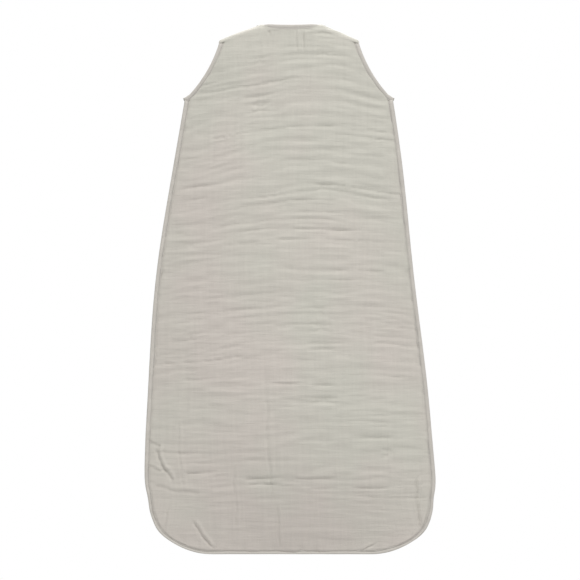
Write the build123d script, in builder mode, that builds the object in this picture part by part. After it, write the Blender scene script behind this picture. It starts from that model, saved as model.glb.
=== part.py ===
"""A sleeveless baby sleeping bag with a front zip and snapped shoulders, 902 mm long.

Every piece is in one frame, in millimetres: +X across the bag, +Z up, +Y out of its front. The back panel
faces -Y. The origin is midway between the two shoulder crests, where shoulders or a hanger carry the bag.
The right half is modelled, and the left half is its mirror image.
"""
import os
from math import hypot, pi, sin, sqrt

from build123d import *

os.makedirs("parts", exist_ok=True)

# Outline of the laid-out bag, as (x, z)
NECK_HALF = 56.0
SHOULDER_HALF = 119.0
SHOULDER_DROP = 27.0
ARMHOLE_MID = (142.0, -84.0)
ARMPIT = (177.0, -127.0)
SIDE_MID = (222.0, -451.0)
HEM_HALF = 249.0
HEM_Z = -902.0
CORNER_R = 112.0
CORNER_Z = HEM_Z + CORNER_R
BACK_NECK_DIP = 4.0
FRONT_NECK_Z = -54.0

# Fullness of the bag in Y, and where each layer of cloth lies, measured outward from the lens
BACK_NECK_DEPTH = 16.0
BACK_BELLY_DEPTH = 40.0
BELLY_Z = -650.0
FRONT_DEPTH = 14.0
ZIP_FOOT_Z = -826.0
LEAST_DEPTH = 0.4
LINING = (0.2, 0.9)
TAPE = (1.05, 1.65)
OUTER = (1.8, 3.0)
BINDING = (0.05, 3.5)
LABEL = (-0.7, 0.0)

# Bindings
SEAM_W = 9.0
SEAM_HALF_T = 3.4
EDGE_W = 8.0
LAP = 0.8
CORNER_STEPS = 9
REACH = 80.0

# Fold of each front half, from beside the zip's foot to the armhole, and of each shoulder tab
FOLD_FOOT = (6.0, -790.0)
FOLD_TOP = (166.0, -116.0)
FOLD_GAP = 1.5
FLAP_FOOT_Z = -790.0
TAB_FOLD_NECK = (36.0, -41.0)
TAB_FOLD_ARM = (144.5, -88.0)
TAB_GAP = 0.4
TAB_TOP_DROP = 9.0

# Shoulder strap, a fold of the back over the shoulder: arch radius and centre at its two ends
STRAP_T = 2.6
STRAP_LEG = 43.0
NECK_ARCH_R = 12.75
NECK_ARCH_Y = -4.05
POINT_ARCH_R = 6.7
POINT_ARCH_Y = -3.94

# Ring snaps, measured out from the strap's front face
SNAP_PLACES = (("neck", 72.0, -35.0), ("arm", 103.0, -48.0))
SNAP_R = 4.75
STUD_R = 4.4
STUD_T = 0.8
KNOB_R = 1.7
KNOB_H = 1.5
SOCKET_HOLE_R = 2.1
SOCKET_T = 1.9
SOCKET_WEB = 0.6
POST_R = 1.1
RING_HOLE_R = 1.15
POST_HOLE_R = 1.25
CAP_T = 1.2
STRAP_TO_TAB = 3.5
TAB_T = 2.4
TAB_BINDING_W = 6.0
TAB_BINDING_PROUD = 0.4

# Zip
ZIP_HALF_OPEN = 5.0
LINING_HALF_OPEN = 8.0
TEETH = (0.3, 2.6)
TEETH_T = 2.1
TAPE_EDGE = 13.0
TAPE_TOP_Z = -62.3
TAPE_TIP = (4.8, -56.0)
ZIP_MID_Y = FRONT_DEPTH + 1.35
SLIDER_Z = -66.0
SLIDER_HALF_W = 4.4
SLIDER_HALF_L = 6.0
PLATE_T = 0.8
PLATE_GAP = 1.45
POST_HALF_W = 1.9
BRIDGE_HALF_W = 1.1
PULL_W = 7.0
PULL_L = 27.0
PULL_T = 1.2
GUARD = (-2.2, -1.2)
GUARD_SEAM = (-1.2, 0.2)


def circle_through(p, q, r):
    """Centre and radius of the circle through three points."""
    (ax, ay), (bx, by), (cx, cy) = p, q, r
    d = 2 * (ax * (by - cy) + bx * (cy - ay) + cx * (ay - by))
    a2, b2, c2 = ax * ax + ay * ay, bx * bx + by * by, cx * cx + cy * cy
    x = (a2 * (by - cy) + b2 * (cy - ay) + c2 * (ay - by)) / d
    y = (a2 * (cx - bx) + b2 * (ax - cx) + c2 * (bx - ax)) / d
    return (x, y), hypot(ax - x, ay - y)


ARCH_Z_NECK = -NECK_ARCH_R
ARCH_Z_POINT = -SHOULDER_DROP - POINT_ARCH_R
SHOULDER_POINT = (SHOULDER_HALF, ARCH_Z_POINT)
SIDE_C, SIDE_R = circle_through(ARMPIT, SIDE_MID, (HEM_HALF, CORNER_Z))
ARM_C, ARM_R = circle_through(SHOULDER_POINT, ARMHOLE_MID, ARMPIT)
BACK_NECK_C, BACK_NECK_R = circle_through((-NECK_HALF, 0), (0, -BACK_NECK_DIP), (NECK_HALF, 0))
FRONT_NECK_C, FRONT_NECK_R = circle_through(
    (-NECK_HALF, -TAB_TOP_DROP + 3), (0, FRONT_NECK_Z), (NECK_HALF, -TAB_TOP_DROP + 3)
)


def side_half(z):
    """Half the width of the laid-out bag at height z, between armpit and corner."""
    return SIDE_C[0] + sqrt(SIDE_R**2 - (z - SIDE_C[1]) ** 2)


def lens_half(z):
    """Half the width of the open pocket at height z: the outline less its binding."""
    if z > CORNER_Z:
        return side_half(min(z, ARMPIT[1])) - SEAM_W + LAP
    across = (CORNER_R - SEAM_W + LAP) ** 2 - (CORNER_Z - z) ** 2
    return HEM_HALF - CORNER_R + sqrt(max(across, 1.0))


def closing(z, start):
    """1 above start, easing to 0 at the hem's binding."""
    share = max(0.0, (start - z) / (start - HEM_Z - SEAM_W))
    return max(0.0, 1 - share**2)


def back_depth(z):
    rise = sin(pi / 2 * min(1.0, max(0.0, z / BELLY_Z)))
    return (BACK_NECK_DEPTH + (BACK_BELLY_DEPTH - BACK_NECK_DEPTH) * rise) * closing(z, BELLY_Z)


def front_depth(z):
    return FRONT_DEPTH * closing(z, ZIP_FOOT_Z)


CORNER_LEVELS = [
    CORNER_Z - (CORNER_R - SEAM_W + LAP) * sin(pi / 2 * k / CORNER_STEPS) for k in range(CORNER_STEPS, -1, -1)
]
LEVELS = CORNER_LEVELS + [-720.0, BELLY_Z, -560.0, -450.0, -340.0, -230.0, ARMPIT[1], -60.0, 6.0]


def pocket_shell(depth_at, layer, side):
    """A layer of cloth over the whole bag: crescents at each level, lofted. side is -1 for the back."""
    near, far = (side * k for k in layer)
    sections = []
    for z in LEVELS:
        half, depth = lens_half(z), side * max(depth_at(z), LEAST_DEPTH)
        with BuildSketch(Plane.XY.offset(z)) as section:
            with BuildLine():
                outside = ThreePointArc((-half, far), (0, depth + far), (half, far))
                inside = ThreePointArc((-half, near), (0, depth + near), (half, near))
                Line(outside @ 0, inside @ 0)
                Line(outside @ 1, inside @ 1)
            make_face()
        sections.append(section.sketch.face())
    loft(sections, ruled=True)


def body_outline(inset, top=30.0):
    """The bag's sides, corners and hem, drawn inset from its edge and straight up from the armpits."""
    hem_end = HEM_HALF - CORNER_R
    low = HEM_Z + inset
    lean = (CORNER_R - inset) / sqrt(2)
    with BuildLine() as edge:
        Line((-hem_end, low), (hem_end, low))
        for s in (-1, 1):
            corner_top = (s * (HEM_HALF - inset), CORNER_Z)
            ThreePointArc((s * hem_end, low), (s * (hem_end + lean), CORNER_Z - lean), corner_top)
            ThreePointArc(corner_top, (s * (SIDE_MID[0] - inset), SIDE_MID[1]), (s * (ARMPIT[0] - inset), ARMPIT[1]))
            Line((s * (ARMPIT[0] - inset), ARMPIT[1]), (s * (ARMPIT[0] - inset), top))
        Line((-ARMPIT[0] + inset, top), (ARMPIT[0] - inset, top))
    make_face(edge.edges())


def beyond_line(start, end, gap, mode):
    """Adds, cuts or keeps all that lies left of the line from start to end, seen along it, by more than gap."""
    length = hypot(end[0] - start[0], end[1] - start[1])
    ux, uz = (end[0] - start[0]) / length, (end[1] - start[1]) / length
    far = 1500.0

    def place(along, off):
        return (start[0] + along * ux - off * uz, start[1] + along * uz + off * ux)

    with BuildLine() as edge:
        Polyline(place(-far, gap), place(far, gap), place(far, far), place(-far, far), close=True)
    make_face(edge.edges(), mode=mode)


def rectangle(x0, x1, z0, z1, mode=Mode.ADD):
    with Locations(((x0 + x1) / 2, (z0 + z1) / 2)):
        Rectangle(x1 - x0, z1 - z0, mode=mode)


def above_shoulder_cut():
    """Cuts the back off where the straps begin."""
    for s in (-1, 1):
        with BuildLine() as edge:
            Polyline(
                (s * NECK_HALF, ARCH_Z_NECK),
                (s * SHOULDER_HALF, ARCH_Z_POINT),
                (s * (SHOULDER_HALF + 80), ARCH_Z_POINT + 20),
                (s * (SHOULDER_HALF + 80), 60),
                (s * NECK_HALF, 60),
                close=True,
            )
        make_face(edge.edges(), mode=Mode.SUBTRACT)


def armholes(radius, mode):
    with Locations((ARM_C[0], ARM_C[1]), (-ARM_C[0], ARM_C[1])):
        Circle(radius, mode=mode)


def through(region, mode=Mode.INTERSECT):
    """Keeps or cuts the current part along a region of the XZ plane, right through the bag."""
    extrude(region, amount=REACH, both=True, mode=mode)


def box_between(x, y, z, mode=Mode.ADD):
    """A box from its spans in x, y and z."""
    with Locations(((x[0] + x[1]) / 2, (y[0] + y[1]) / 2, (z[0] + z[1]) / 2)):
        Box(abs(x[1] - x[0]), abs(y[1] - y[0]), abs(z[1] - z[0]), mode=mode)


pieces = {}


def keep(name, part):
    """Labels a finished piece and writes its STEP file."""
    part.label = name
    pieces[name] = part
    export_step(part, f"parts/{name}.step")


def keep_pair(name, part):
    """Keeps a right-hand piece and its left-hand mirror image."""
    keep(f"right_{name}", part)
    with BuildPart() as twin:
        mirror(part, about=Plane.YZ)
    keep(f"left_{name}", twin.part)


# ---- Back: outer cloth, lining and bindings ----
with BuildSketch(Plane.XZ) as back_region:
    body_outline(SEAM_W)
    armholes(ARM_R + EDGE_W, Mode.SUBTRACT)
    with Locations(BACK_NECK_C):
        Circle(BACK_NECK_R + EDGE_W, mode=Mode.SUBTRACT)
    above_shoulder_cut()

with BuildSketch(Plane.XZ) as back_armhole_region:
    body_outline(SEAM_W)
    armholes(ARM_R + EDGE_W, Mode.INTERSECT)
    armholes(ARM_R, Mode.SUBTRACT)
    above_shoulder_cut()
    rectangle(0, 400, -1000, 100, Mode.INTERSECT)

with BuildSketch(Plane.XZ) as back_neck_region:
    rectangle(-NECK_HALF, NECK_HALF, ARCH_Z_NECK, 30)
    with Locations(BACK_NECK_C):
        Circle(BACK_NECK_R + EDGE_W, mode=Mode.INTERSECT)
        Circle(BACK_NECK_R, mode=Mode.SUBTRACT)

for name, layer in (("back_panel", OUTER), ("back_lining", LINING)):
    with BuildPart() as back_layer:
        pocket_shell(back_depth, layer, -1)
        through(back_region.sketch)
    keep(name, back_layer.part)

with BuildPart() as back_edge_shell:
    pocket_shell(back_depth, BINDING, -1)

with BuildPart() as back_armhole_binding:
    add(back_edge_shell.part)
    through(back_armhole_region.sketch)
keep_pair("back_armhole_binding", back_armhole_binding.part)

with BuildPart() as back_neck_binding:
    add(back_edge_shell.part)
    through(back_neck_region.sketch)
keep("back_neck_binding", back_neck_binding.part)

# ---- Label sewn inside the back of the neck ----
LABEL_X = 18.0
LABEL_W = 12.0
LABEL_Z = (-42.0, -13.0)
with BuildSketch(Plane.XZ) as label_region:
    rectangle(LABEL_X - LABEL_W / 2, LABEL_X + LABEL_W / 2, *LABEL_Z)
with BuildPart() as neck_label:
    pocket_shell(back_depth, LABEL, -1)
    through(label_region.sketch)
keep("neck_label", neck_label.part)

# ---- Binding round the sides and hem, where front and back meet ----
with BuildSketch(Plane.XZ) as seam_region:
    body_outline(0)
    with BuildSketch(Plane.XZ, mode=Mode.PRIVATE) as inner_outline:
        body_outline(SEAM_W)
    add(inner_outline.sketch, mode=Mode.SUBTRACT)
    rectangle(-400, 400, -1000, ARMPIT[1], Mode.INTERSECT)
with BuildPart() as side_hem_binding:
    extrude(seam_region.sketch, amount=SEAM_HALF_T, both=True)
keep("side_hem_binding", side_hem_binding.part)

# ---- Tails of the armhole bindings, tacked together at each armpit ----
TACK_OUT = 4.0
TACK_H = 9.0
with BuildPart() as armpit_tack:
    with BuildSketch(Plane.XZ):
        with BuildLine():
            Polyline(
                (ARMPIT[0] - SEAM_W + LAP, ARMPIT[1]),
                (ARMPIT[0] + TACK_OUT, ARMPIT[1] + 1.5),
                (ARMPIT[0] + 1.0, ARMPIT[1] + TACK_H),
                (ARMPIT[0] - SEAM_W + LAP, ARMPIT[1] + TACK_H - 2.5),
                close=True,
            )
        make_face()
    extrude(amount=SEAM_HALF_T, both=True)
keep_pair("armpit_tack", armpit_tack.part)

# ---- Shoulder straps, each folded forward over the shoulder ----
SHOULDER_RUN = SHOULDER_HALF - NECK_HALF
NECK_FACE_Y = NECK_ARCH_Y + NECK_ARCH_R
POINT_FACE_Y = POINT_ARCH_Y + POINT_ARCH_R
FACE_LEAN = (POINT_FACE_Y - NECK_FACE_Y) / SHOULDER_RUN


def crest_z(x):
    """Height of the shoulder's crest."""
    return -SHOULDER_DROP * (x - NECK_HALF) / SHOULDER_RUN


def strap_face(x, z, out=0.0):
    """Plane on the right strap's front face, moved outward, with its normal pointing out of the bag."""
    y = NECK_FACE_Y + FACE_LEAN * (x - NECK_HALF)
    return Plane(origin=(x, y, z), x_dir=(-1, -FACE_LEAN, 0), z_dir=(-FACE_LEAN, 1, 0)).offset(out)


def post(plane, radius, start, height, mode=Mode.ADD):
    """A round disc or hole from start, measured out from a plane."""
    with Locations(plane.offset(start + height / 2)):
        Cylinder(radius, height, mode=mode)


def strap_section(x, arch_r, arch_y):
    """An upside-down U: the arch, and its longer front leg."""
    mid_z = crest_z(x) - arch_r
    foot = crest_z(x) - STRAP_LEG
    inner = arch_r - STRAP_T
    with BuildSketch(Plane.YZ.offset(x)) as section:
        with BuildLine():
            ThreePointArc((arch_y - arch_r, mid_z), (arch_y, mid_z + arch_r), (arch_y + arch_r, mid_z))
            Line((arch_y + arch_r, mid_z), (arch_y + arch_r, foot))
            Line((arch_y + arch_r, foot), (arch_y + inner, foot))
            Line((arch_y + inner, foot), (arch_y + inner, mid_z))
            ThreePointArc((arch_y + inner, mid_z), (arch_y, mid_z + inner), (arch_y - inner, mid_z))
            Line((arch_y - inner, mid_z), (arch_y - arch_r, mid_z))
        make_face()
    return section.sketch.face()


with BuildPart() as back_strap:
    neck_end = strap_section(NECK_HALF, NECK_ARCH_R, NECK_ARCH_Y)
    point_end = strap_section(SHOULDER_HALF, POINT_ARCH_R, POINT_ARCH_Y)
    loft([neck_end, point_end], ruled=True)
    for place, x, z in SNAP_PLACES:
        post(strap_face(x, z), POST_HOLE_R, -STRAP_T - 1, STRAP_T + 2, Mode.SUBTRACT)
keep_pair("back_strap", back_strap.part)

# ---- Front: the side of each half, sewn to the back, and the flap that folds open ----
with BuildSketch(Plane.XZ) as flap_half:
    beyond_line(FOLD_FOOT, FOLD_TOP, FOLD_GAP, Mode.ADD)
    rectangle(0, 400, FLAP_FOOT_Z, 100, Mode.INTERSECT)

with BuildSketch(Plane.XZ) as flap_clearance:
    beyond_line(FOLD_FOOT, FOLD_TOP, -FOLD_GAP, Mode.ADD)
    rectangle(-1, 400, FLAP_FOOT_Z - 2 * FOLD_GAP, 100, Mode.INTERSECT)


def side_region(zip_half):
    """Lower and outer part of the right front, which stays on the bag when the flap is open."""
    body_outline(SEAM_W)
    rectangle(0, 400, -1000, 100, Mode.INTERSECT)
    rectangle(-zip_half, zip_half, ZIP_FOOT_Z, 100, Mode.SUBTRACT)
    armholes(ARM_R, Mode.SUBTRACT)
    add(flap_clearance.sketch, mode=Mode.SUBTRACT)


def flap_region(zip_half, edge):
    """The right front above its fold and below the shoulder tab, less its bound edges."""
    body_outline(SEAM_W)
    rectangle(zip_half, 400, -1000, 100, Mode.INTERSECT)
    add(flap_half.sketch, mode=Mode.INTERSECT)
    armholes(ARM_R + edge, Mode.SUBTRACT)
    with Locations(FRONT_NECK_C):
        Circle(FRONT_NECK_R + edge, mode=Mode.SUBTRACT)
    beyond_line(TAB_FOLD_NECK, TAB_FOLD_ARM, -TAB_GAP, Mode.SUBTRACT)


for name, layer, zip_half in (("front", OUTER, ZIP_HALF_OPEN), ("lining", LINING, LINING_HALF_OPEN)):
    with BuildPart() as front_layer:
        pocket_shell(front_depth, layer, 1)
    with BuildSketch(Plane.XZ) as side_cut:
        side_region(zip_half)
    with BuildPart() as front_side:
        add(front_layer.part)
        through(side_cut.sketch)
    keep_pair(f"{name}_side", front_side.part)
    with BuildSketch(Plane.XZ) as flap_cut:
        flap_region(zip_half, EDGE_W)
    with BuildPart() as front_flap:
        add(front_layer.part)
        through(flap_cut.sketch)
    keep_pair(f"{name}_flap", front_flap.part)

with BuildPart() as front_edge_shell:
    pocket_shell(front_depth, BINDING, 1)

with BuildSketch(Plane.XZ) as flap_armhole_region:
    flap_region(ZIP_HALF_OPEN, 0)
    armholes(ARM_R + EDGE_W, Mode.INTERSECT)
    rectangle(0, 400, -1000, 100, Mode.INTERSECT)
with BuildPart() as flap_armhole_binding:
    add(front_edge_shell.part)
    through(flap_armhole_region.sketch)
keep_pair("flap_armhole_binding", flap_armhole_binding.part)

with BuildSketch(Plane.XZ) as flap_neck_region:
    flap_region(ZIP_HALF_OPEN, 0)
    with Locations(FRONT_NECK_C):
        Circle(FRONT_NECK_R + EDGE_W, mode=Mode.INTERSECT)
with BuildPart() as flap_neck_binding:
    add(front_edge_shell.part)
    through(flap_neck_region.sketch)
keep_pair("flap_neck_binding", flap_neck_binding.part)

# ---- Front shoulder tabs ----
TAB_SLOPE = SHOULDER_DROP / SHOULDER_RUN


def tab_region(edge):
    """The tab's outline: above its fold, below the crest, between neckline and armhole, drawn in by edge."""
    beyond_line(TAB_FOLD_NECK, TAB_FOLD_ARM, TAB_GAP, Mode.ADD)
    top = -TAB_TOP_DROP - edge * hypot(1, TAB_SLOPE)
    beyond_line((NECK_HALF, top), (SHOULDER_HALF, top - SHOULDER_DROP), 0, Mode.SUBTRACT)
    rectangle(0, 200, -200, 0, Mode.INTERSECT)
    armholes(ARM_R + edge, Mode.SUBTRACT)
    with Locations(FRONT_NECK_C):
        Circle(FRONT_NECK_R + edge, mode=Mode.SUBTRACT)


with BuildSketch(Plane.XZ) as tab_inside:
    tab_region(TAB_BINDING_W)
with BuildSketch(Plane.XZ) as tab_edge:
    tab_region(0)
    add(tab_inside.sketch, mode=Mode.SUBTRACT)


def tab_slab(start, thickness):
    """A flat slab parallel to the strap's face, wider than the tab."""
    with Locations(strap_face(90, -50, start + thickness / 2)):
        Box(260, 260, thickness)


with BuildPart() as front_tab:
    tab_slab(STRAP_TO_TAB, TAB_T)
    through(tab_inside.sketch)
    for place, x, z in SNAP_PLACES:
        post(strap_face(x, z), POST_HOLE_R, STRAP_TO_TAB - 1, TAB_T + 2, Mode.SUBTRACT)
keep_pair("front_tab", front_tab.part)

with BuildPart() as tab_binding:
    tab_slab(STRAP_TO_TAB - TAB_BINDING_PROUD, TAB_T + 2 * TAB_BINDING_PROUD)
    through(tab_edge.sketch)
keep_pair("tab_binding", tab_binding.part)

# ---- Ring snaps, two to a shoulder ----
RING_START = -STRAP_T - 0.05 - STUD_T
SOCKET_START = STRAP_TO_TAB - SOCKET_T
CAP_START = STRAP_TO_TAB + TAB_T
for place, x, z in SNAP_PLACES:
    face = strap_face(x, z)
    with BuildPart() as snap_stud:
        post(face, STUD_R, 0, STUD_T)
        post(face, KNOB_R, STUD_T, KNOB_H)
        post(face, POST_R, -STRAP_T - 0.6, STRAP_T + 0.6)
    keep_pair(f"{place}_snap_stud", snap_stud.part)

    with BuildPart() as snap_ring:
        post(face, STUD_R, RING_START, STUD_T)
        post(face, RING_HOLE_R, RING_START, STUD_T, Mode.SUBTRACT)
    keep_pair(f"{place}_snap_ring", snap_ring.part)

    with BuildPart() as snap_socket:
        post(face, SNAP_R, SOCKET_START, SOCKET_T)
        post(face, SOCKET_HOLE_R, SOCKET_START, SOCKET_T - SOCKET_WEB, Mode.SUBTRACT)
        post(face, RING_HOLE_R, SOCKET_START, SOCKET_T, Mode.SUBTRACT)
    keep_pair(f"{place}_snap_socket", snap_socket.part)

    with BuildPart() as snap_cap:
        post(face, SNAP_R, CAP_START, CAP_T)
        fillet(snap_cap.edges().group_by(Axis((0, 0, 0), (-FACE_LEAN, 1, 0)))[-1], CAP_T / 2)
        post(face, POST_R, CAP_START - TAB_T - SOCKET_WEB + 0.1, TAB_T + SOCKET_WEB - 0.1)
    keep_pair(f"{place}_snap_cap", snap_cap.part)

# ---- Zip: tapes, teeth and stops ----
TEETH_Y = (ZIP_MID_Y - TEETH_T / 2, ZIP_MID_Y + TEETH_T / 2)
TEETH_TOP_Z = SLIDER_Z + 1.0
FOOT_TOP_Z = FLAP_FOOT_Z - 2 * FOLD_GAP
STOP_H = 3.0

with BuildPart() as tape_shell:
    pocket_shell(front_depth, TAPE, 1)

with BuildSketch(Plane.XZ) as flap_tape_region:
    rectangle(TEETH[1], TAPE_EDGE, FLAP_FOOT_Z, TAPE_TOP_Z)
    rectangle(TEETH[1], TAPE_TIP[0], TAPE_TOP_Z, TAPE_TIP[1])
    add(flap_half.sketch, mode=Mode.INTERSECT)
with BuildPart() as flap_tape:
    add(tape_shell.part)
    through(flap_tape_region.sketch)
keep_pair("zip_tape", flap_tape.part)

with BuildPart() as zip_teeth:
    box_between(TEETH, TEETH_Y, (FLAP_FOOT_Z, TEETH_TOP_Z))
keep_pair("zip_teeth", zip_teeth.part)

with BuildPart() as zip_top_stop:
    box_between((TEETH[1] - 1.8, TEETH[1]), TEETH_Y, (TAPE_TIP[1] - STOP_H, TAPE_TIP[1] - 0.4))
keep_pair("zip_top_stop", zip_top_stop.part)

with BuildSketch(Plane.XZ) as foot_tape_region:
    rectangle(-TAPE_EDGE, TAPE_EDGE, ZIP_FOOT_Z - 10, FOOT_TOP_Z)
    rectangle(-TEETH[1], TEETH[1], ZIP_FOOT_Z, 0, Mode.SUBTRACT)
    rectangle(-400, 400, -1000, FOOT_TOP_Z, Mode.INTERSECT)
with BuildPart() as zip_foot_tape:
    add(tape_shell.part)
    through(foot_tape_region.sketch)
keep("zip_foot_tape", zip_foot_tape.part)

with BuildPart() as zip_foot_teeth:
    box_between(TEETH, TEETH_Y, (ZIP_FOOT_Z + STOP_H, FOOT_TOP_Z))
    mirror(about=Plane.YZ)
    box_between((-TEETH[1], TEETH[1]), TEETH_Y, (ZIP_FOOT_Z, ZIP_FOOT_Z + STOP_H))
keep("zip_foot_teeth", zip_foot_teeth.part)

# ---- Guard behind the zip, on the left flap: a free strip and the seam that holds it ----
GUARD_X = (-22.0, -0.3)
GUARD_SEAM_X = (-22.0, -16.0)
GUARD_Z = (-740.0, -66.0)
with BuildPart() as zip_guard:
    for layer, span in ((GUARD, GUARD_X), (GUARD_SEAM, GUARD_SEAM_X)):
        with BuildPart(mode=Mode.PRIVATE) as guard_layer:
            pocket_shell(front_depth, layer, 1)
            with BuildSketch(Plane.XZ) as guard_region:
                rectangle(*span, *GUARD_Z)
            through(guard_region.sketch)
        add(guard_layer.part)
keep("zip_guard", zip_guard.part)

# ---- Slider, with the post that parts the teeth and the bridge that holds its pull ----
PLATE_FAR = PLATE_GAP + PLATE_T
BRIDGE_H = 2.9
PULL_Y = ZIP_MID_Y + PLATE_FAR + 1.15
PIN_R = 0.5
PIN_Z = SLIDER_Z - 0.8
SLIDER_TOP_Z = SLIDER_Z + SLIDER_HALF_L
with BuildPart() as zip_slider:
    for s in (-1, 1):
        with BuildSketch(Plane.XZ.offset(-ZIP_MID_Y - s * (PLATE_GAP + PLATE_T / 2))):
            with Locations((0, SLIDER_Z)):
                RectangleRounded(2 * SLIDER_HALF_W, 2 * SLIDER_HALF_L, 1.8)
        extrude(amount=PLATE_T / 2, both=True)
    box_between(
        (-POST_HALF_W, POST_HALF_W),
        (ZIP_MID_Y - PLATE_GAP, ZIP_MID_Y + PLATE_GAP),
        (TEETH_TOP_Z + 0.5, SLIDER_TOP_Z - 0.6),
    )
    bridge_y = (ZIP_MID_Y + PLATE_FAR, ZIP_MID_Y + PLATE_FAR + BRIDGE_H)
    box_between((-BRIDGE_HALF_W, BRIDGE_HALF_W), bridge_y, (SLIDER_Z - 4.6, SLIDER_Z + 4.6))
    box_between(
        (-BRIDGE_HALF_W - 1, BRIDGE_HALF_W + 1),
        (bridge_y[0], bridge_y[0] + BRIDGE_H - 0.8),
        (SLIDER_Z - 2.6, SLIDER_Z + 2.6),
        Mode.SUBTRACT,
    )
keep("zip_slider", zip_slider.part)

# ---- Pull, hanging from its pin under the bridge ----
ARM_IN = BRIDGE_HALF_W + 0.4
WINDOW_L = 8.0
with BuildPart() as zip_pull:
    with BuildSketch(Plane.XZ.offset(-PULL_Y)):
        with Locations((0, SLIDER_Z - PULL_L / 2)):
            RectangleRounded(PULL_W, PULL_L, 1.6)
        rectangle(-ARM_IN, ARM_IN, SLIDER_Z - WINDOW_L, SLIDER_Z + 1, Mode.SUBTRACT)
        with Locations((0, SLIDER_Z - PULL_L + 5)):
            SlotCenterToCenter(3.0, 2.4, rotation=90, mode=Mode.SUBTRACT)
    extrude(amount=PULL_T / 2, both=True)
    with Locations(Location((0, PULL_Y, PIN_Z), (0, 90, 0))):
        Cylinder(PIN_R, PULL_W - 2.4)
keep("zip_pull", zip_pull.part)
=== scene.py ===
"""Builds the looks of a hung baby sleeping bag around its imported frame: crinkled muslin front, back and
lining, bound edges with their stitching, a moulded zip, snapped shoulder tabs, a plain floor and soft light.

Everything is in metres, +Z up, with the back panel facing -Y and the zip facing +Y.
"""
import math

import bmesh
import bpy
import numpy as np
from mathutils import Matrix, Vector


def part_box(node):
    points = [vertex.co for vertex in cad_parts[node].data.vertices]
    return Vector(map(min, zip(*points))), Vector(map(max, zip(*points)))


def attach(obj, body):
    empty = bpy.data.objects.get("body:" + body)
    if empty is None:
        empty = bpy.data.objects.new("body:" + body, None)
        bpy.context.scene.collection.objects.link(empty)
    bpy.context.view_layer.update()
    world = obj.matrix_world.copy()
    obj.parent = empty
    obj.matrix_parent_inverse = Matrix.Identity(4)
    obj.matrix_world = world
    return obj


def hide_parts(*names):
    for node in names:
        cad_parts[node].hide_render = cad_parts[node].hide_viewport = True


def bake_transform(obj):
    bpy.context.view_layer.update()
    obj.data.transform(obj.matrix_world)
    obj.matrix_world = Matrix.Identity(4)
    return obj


bl_info = {
    "name": "Baby Sleeping Bag",
    "version": (1, 0, 0),
    "blender": (4, 5, 0),
    "location": "3D View > Sidebar > Sleeping Bag",
    "description": "Dresses the frame of a muslin baby sleeping bag in cloth, trims, zip and snaps",
    "category": "Object",
}

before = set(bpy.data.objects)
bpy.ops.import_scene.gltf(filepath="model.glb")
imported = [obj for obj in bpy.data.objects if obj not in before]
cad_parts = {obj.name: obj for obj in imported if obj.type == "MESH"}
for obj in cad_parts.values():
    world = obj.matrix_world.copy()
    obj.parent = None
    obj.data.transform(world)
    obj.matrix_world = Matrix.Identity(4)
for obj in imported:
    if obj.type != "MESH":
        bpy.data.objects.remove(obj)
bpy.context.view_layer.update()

MM = 0.001
TAU = 2 * math.pi

# Outline of the laid-out bag
NECK_HALF = 0.056
SHOULDER_HALF = 0.119
SHOULDER_DROP = 0.027
ARMHOLE_MID = (0.142, -0.084)
ARMPIT = (0.177, -0.127)
SIDE_MID = (0.222, -0.451)
HEM_HALF = 0.249
HEM_Z = -0.902
CORNER_R = 0.112
CORNER_Z = HEM_Z + CORNER_R
BACK_NECK_DIP = 0.0024
FRONT_NECK_Z = -0.054
TAB_TOP_DROP = 0.009
SEAM_W = 0.009

# Fullness front and back
BACK_NECK_DEPTH = 0.016
BACK_BELLY_DEPTH = 0.040
BELLY_Z = -0.650
FRONT_DEPTH = 0.014
POCKET_IN = 0.0082
ZIP_FOOT_Z = -0.826

# Shoulder arch and strap face
NECK_ARCH = (0.01275, -0.00405)
POINT_ARCH = (0.0067, -0.00394)
STRAP_LEG = 0.043
STRAP_TO_TAB = 0.0035

# Folds of the opened front and of the shoulder tabs, as (x, z)
FOLD_FOOT = (0.006, -0.790)
FOLD_TOP = (0.166, -0.116)
TAB_FOLD_NECK = (0.036, -0.041)
TAB_FOLD_ARM = (0.1445, -0.088)
FOLD_BAND = (0.002, 0.024)
TAB_BAND = (0.001, 0.009)
TAB_FACING = (0.0943, 0.9955)
TAB_MIDDLE = (0.088, -0.045)

# Zip
ZIP_MID_Y = FRONT_DEPTH + 0.00135
ZIP_TRAVEL = 0.7265


def circle_through(p, q, r):
    """Centre and radius of the circle through three points."""
    (ax, ay), (bx, by), (cx, cy) = p, q, r
    d = 2 * (ax * (by - cy) + bx * (cy - ay) + cx * (ay - by))
    a2, b2, c2 = ax * ax + ay * ay, bx * bx + by * by, cx * cx + cy * cy
    x = (a2 * (by - cy) + b2 * (cy - ay) + c2 * (ay - by)) / d
    y = (a2 * (cx - bx) + b2 * (ax - cx) + c2 * (bx - ax)) / d
    return (x, y), math.hypot(ax - x, ay - y)


SHOULDER_POINT = (SHOULDER_HALF, -SHOULDER_DROP - POINT_ARCH[0])
SIDE_C, SIDE_R = circle_through(ARMPIT, SIDE_MID, (HEM_HALF, CORNER_Z))
ARM_C, ARM_R = circle_through(SHOULDER_POINT, ARMHOLE_MID, ARMPIT)
NECK_TOP_Z = -TAB_TOP_DROP + 0.003
FRONT_NECK_C, FRONT_NECK_R = circle_through(
    (-NECK_HALF, NECK_TOP_Z), (0, FRONT_NECK_Z), (NECK_HALF, NECK_TOP_Z)
)


# ---- Pattern functions, on numbers or arrays ----
def smooth(t):
    """An eased step from 0 to 1."""
    t = np.clip(t, 0, 1)
    return t * t * (3 - 2 * t)


def hump(t):
    """A rounded hump, 1 where t is 0."""
    return np.exp(-(t**2))


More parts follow.
